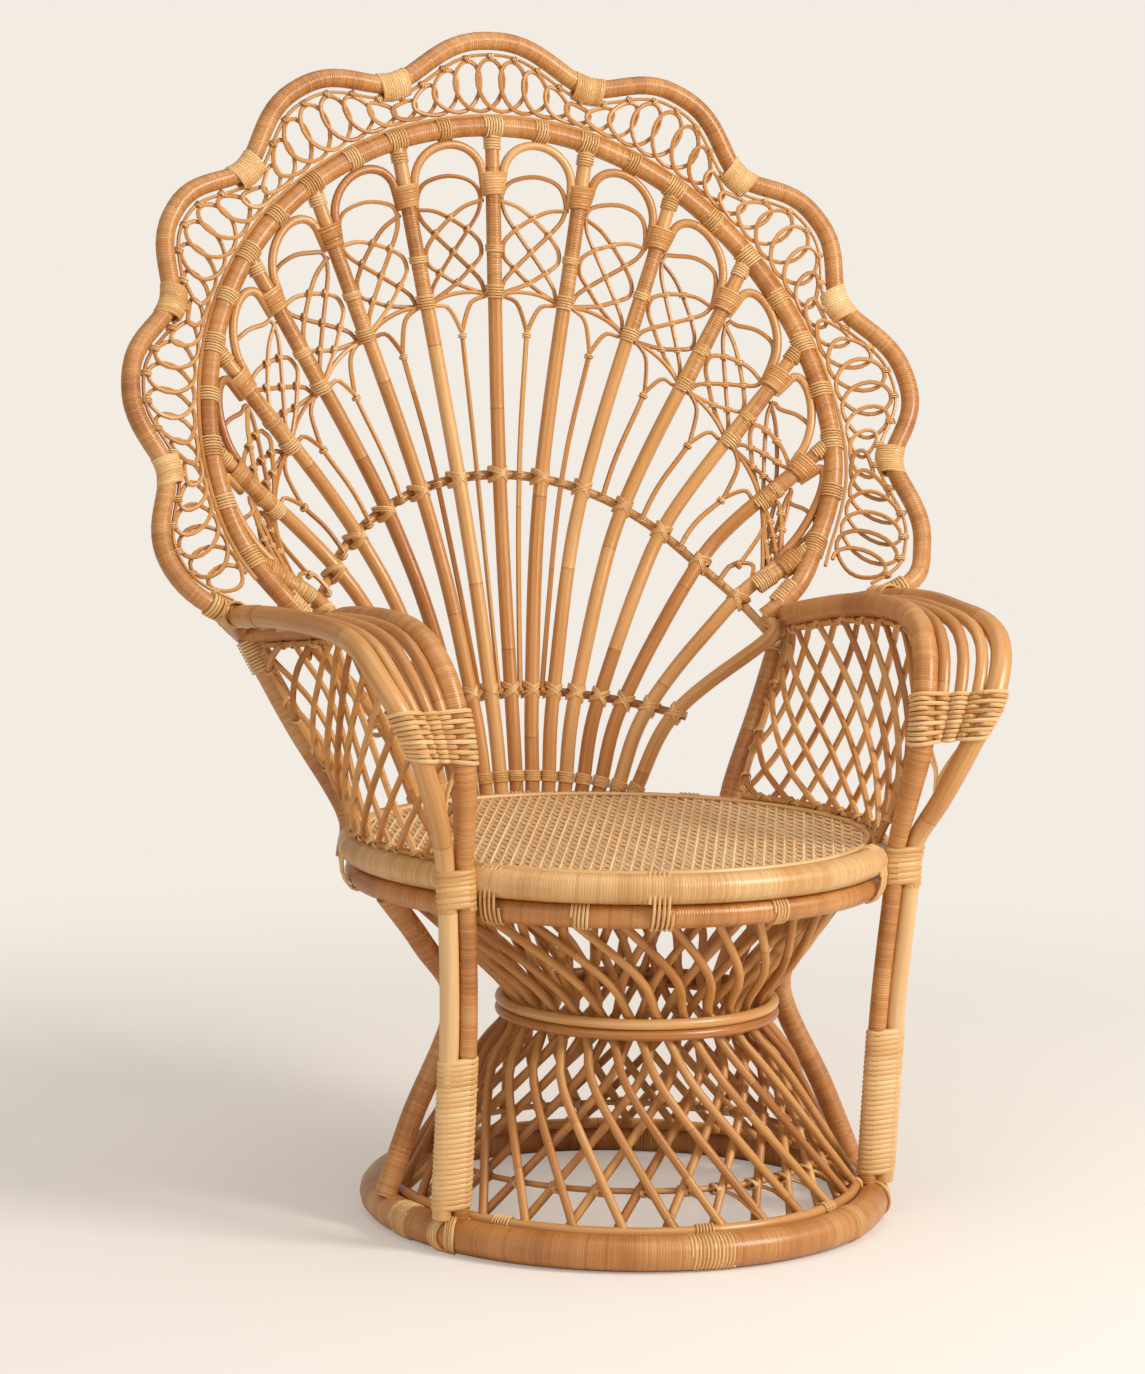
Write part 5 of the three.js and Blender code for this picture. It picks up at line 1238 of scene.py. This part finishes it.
PANEL_TUBE, BORDER_TUBE, PANEL_PITCH, STRAND_DEPTH, PANEL_KNOT = 0.0040, 0.0042, 0.044, 0.0036, 0.0062
LEAN_SHARE, STEP_SHARE = 0.45, PANEL_PITCH / (bottom_edge[0] - bottom_edge[-1]).length
panel, panel_knots = [], []
for lean in (1, -1):
    start = STEP_SHARE / 2 - (LEAN_SHARE if lean > 0 else 0)
    while start < (1 if lean > 0 else 1 + LEAN_SHARE):
        low = min(max((-start if lean > 0 else start - 1) / LEAN_SHARE, 0), 1)
        high = min(max((1 - start if lean > 0 else start) / LEAN_SHARE, 0), 1)
        if high - low > 0.1:
            strand = []
            for w in span(low, high, 12):
                lifted = sqrt(max(sin(pi * (w - low) / (high - low)), 0))
                strand.append(on_panel(start + lean * LEAN_SHARE * w, w, lean * STRAND_DEPTH * lifted))
            panel.append(strand)
            panel_knots.append(knot(strand[0], strand[1], PANEL_KNOT))
            panel_knots.append(knot(strand[-1], strand[-2], PANEL_KNOT))
        start += STEP_SHARE
border = [on_panel(u, 0, 0) for u in span(0, 1, 16)]
border += [on_panel(1, w, 0) for w in span(0, 1, 10)[1:]]
border += [on_panel(u, 1, 0) for u in span(1, 0, 16)[1:]]
border += [on_panel(0, w, 0) for w in span(1, 0, 12)[1:-1]]
for side, word in SIDES:
    strands, knots = ([mirror(route, side) for route in routes] for routes in (panel, panel_knots))
    finish_piece(canes(f"side_panel_{word}", strands, PANEL_TUBE, 1), thin_core, "thin_cane",
                 f"arm_lattice_{word}")
    finish_piece(canes(f"side_panel_border_{word}", [mirror(border, side)], BORDER_TUBE, 1, closed=True),
                 thin_core, "thin_cane")
    finish_piece(canes(f"side_panel_knots_{word}", knots, FINE_STRIP, 0), pale_peel, "pale_binding")

# %% [markdown]
# ## The woven seat
# Cane webbing is woven flat from strips just under 3 mm wide: pairs that run both ways and single
# strips on both diagonals, which leave long holes. The real strips go over and under each other; at
# this size that can't be seen, so each direction is one layer of round canes squeezed flat, and the
# four layers are joined. The holes are real, and the dark pedestal shows through them.

# %% Cane webbing
PANEL_R, PANEL_Z, STEP_X, STEP_Y = 0.2963, 0.4375, 0.0125, 0.026
STRIP_TUBE, STRIP_FLAT, SPLINE_TUBE, SPLINE_LIFT = 0.0014, 0.6, 0.0030, 0.003


def chord(offset, turn, height):
    half = sqrt(PANEL_R ** 2 - offset ** 2)
    across, ahead = Vector((-sin(turn), cos(turn), 0)), Vector((cos(turn), sin(turn), 0))
    centre = Vector((0, BASE_Y + SEAT_BACK, height)) + across * offset
    return [centre + ahead * half * t for t in (-1, -0.33, 0.33, 1)]


slope = atan2(STEP_Y, STEP_X)
slant_step = STEP_X * sin(slope)
WEB = [("web_fore_and_aft", pi / 2, STEP_X, (-0.0019, 0.0019), 0.0006),
       ("web_across", 0.0, STEP_Y, (-0.0022, 0.0022), -0.0006),
       ("web_slant_one", slope, slant_step, (slant_step / 2,), 0.0016),
       ("web_slant_two", -slope, slant_step, (slant_step / 2,), -0.0016)]
layers = []
for name, turn, step, shifts, rise in WEB:
    count = int(PANEL_R / step) + 1
    offsets = [index * step + shift for index in range(-count, count + 1) for shift in shifts]
    height = PANEL_Z + rise
    layer = canes(name, [chord(offset, turn, height) for offset in offsets if abs(offset) < PANEL_R - 0.004],
                  STRIP_TUBE, 0)
    bpy.ops.object.mode_set(mode="EDIT")
    bpy.ops.mesh.select_all(action="SELECT")
    bpy.ops.transform.resize(value=(1, 1, STRIP_FLAT), center_override=(0, 0, height))
    bpy.ops.object.mode_set(mode="OBJECT")
    layers.append(layer)
bpy.ops.object.select_all(action="DESELECT")
for layer in layers:
    layer.select_set(True)
bpy.context.view_layer.objects.active = layers[0]
bpy.ops.object.join()
webbing = bpy.context.object
webbing.name = "seat_webbing"
finish_piece(webbing, web_peel, "cane_webbing", "seat_cane_panel")
spline_run = circle(PANEL_R - 0.001, PANEL_Z + SPLINE_LIFT, SEAT_BACK)
finish_piece(canes("seat_spline_cane", [spline_run], SPLINE_TUBE, 1, closed=True), pale_peel, "pale_binding",
             "seat_spline")
print("webbing faces", len(webbing.data.polygons))

# %% [markdown]
# ## Floor and light
# The floor is a pale sheet. Close to the chair the camera sees it seven tenths lit, holding the chair's
# shadow, and three tenths plain backdrop colour, a painted lightening of that shadow; farther off it
# melts into the plain background, so there is no horizon. A big soft lamp stands on the front right,
# with a weaker one on the left and one above; the world fills the rest.

# %% Floor
BACKDROP = "#F3ECE3"
FLOOR_SIZE, LIT_WITHIN, PLAIN_BEYOND, PAINTED_SHADOW_LIFT = 60, 0.75, 2.2, 0.3
bpy.ops.object.select_all(action="DESELECT")
bpy.ops.mesh.primitive_plane_add(size=FLOOR_SIZE, location=(0, 0, 0))
backdrop = bpy.context.object
backdrop.name = "backdrop"
paper = bpy.data.materials.new("pale_floor")
paper.use_nodes = True
sheet = paper.node_tree
matt = sheet.nodes["Principled BSDF"]
matt.inputs["Base Color"].default_value = hex_colour(BACKDROP)
matt.inputs["Roughness"].default_value = 0.9
floor_place = add_node(sheet, "ShaderNodeTexCoord", output="Object")
far = add_node(sheet, "ShaderNodeVectorMath", {0: floor_place}, output="Value", operation="LENGTH")
# Near the chair three tenths of what the camera sees is plain backdrop glow: painted light that lightens the
# chair's shadow.
fade = add_node(sheet, "ShaderNodeMapRange",
                {"Value": far, "From Min": LIT_WITHIN, "From Max": PLAIN_BEYOND, "To Min": PAINTED_SHADOW_LIFT},
                interpolation_type="SMOOTHSTEP")
seen = add_node(sheet, "ShaderNodeLightPath", output="Is Camera Ray")
share = add_node(sheet, MATH, {0: fade, 1: seen}, operation="MULTIPLY")
plain = add_node(sheet, "ShaderNodeEmission", {"Color": hex_colour(BACKDROP), "Strength": 1.0})
blended = add_node(sheet, "ShaderNodeMixShader", {0: share, 1: matt.outputs[0], 2: plain})
sheet.links.new(blended, sheet.nodes["Material Output"].inputs["Surface"])
backdrop.data.materials.append(paper)
print("floor lit within", LIT_WITHIN, "m, plain beyond", PLAIN_BEYOND, "m")


# %% Lamps and world
AIR_STRENGTH = 0.46


def soft_lamp(name, place, aim, size, watts, colour):
    bpy.ops.object.select_all(action="DESELECT")
    bpy.ops.object.light_add(type="AREA", location=place)
    lamp = bpy.context.object
    lamp.name = name
    lamp.data.size = size
    lamp.data.energy = watts
    lamp.data.color = hex_colour(colour)[:3]
    lamp.rotation_euler = (Vector(aim) - Vector(place)).to_track_quat("-Z", "Y").to_euler()


soft_lamp("key_window", (2.4, -3.0, 2.8), (0, 0, 0.6), 1.5, 160, "#FFFAF4")
soft_lamp("fill_left", (-3.2, -2.4, 2.0), (0, 0, 0.6), 2.6, 24, "#FFFFFF")
soft_lamp("top_soft", (0.0, -0.4, 3.8), (0, 0, 0.4), 2.6, 35, "#FFFFFF")

world = bpy.context.scene.world or bpy.data.worlds.new("studio")
bpy.context.scene.world = world
world.use_nodes = True
air = world.node_tree
background = air.nodes["Background"]
background.inputs["Color"].default_value = hex_colour(BACKDROP)
seen_air = add_node(air, "ShaderNodeLightPath", output="Is Camera Ray")
strength = add_node(air, MATH, {0: seen_air, 1: 1 - AIR_STRENGTH, 2: AIR_STRENGTH},
                    operation="MULTIPLY_ADD")
air.links.new(strength, background.inputs["Strength"])
bpy.context.scene.view_settings.view_transform = "Standard"
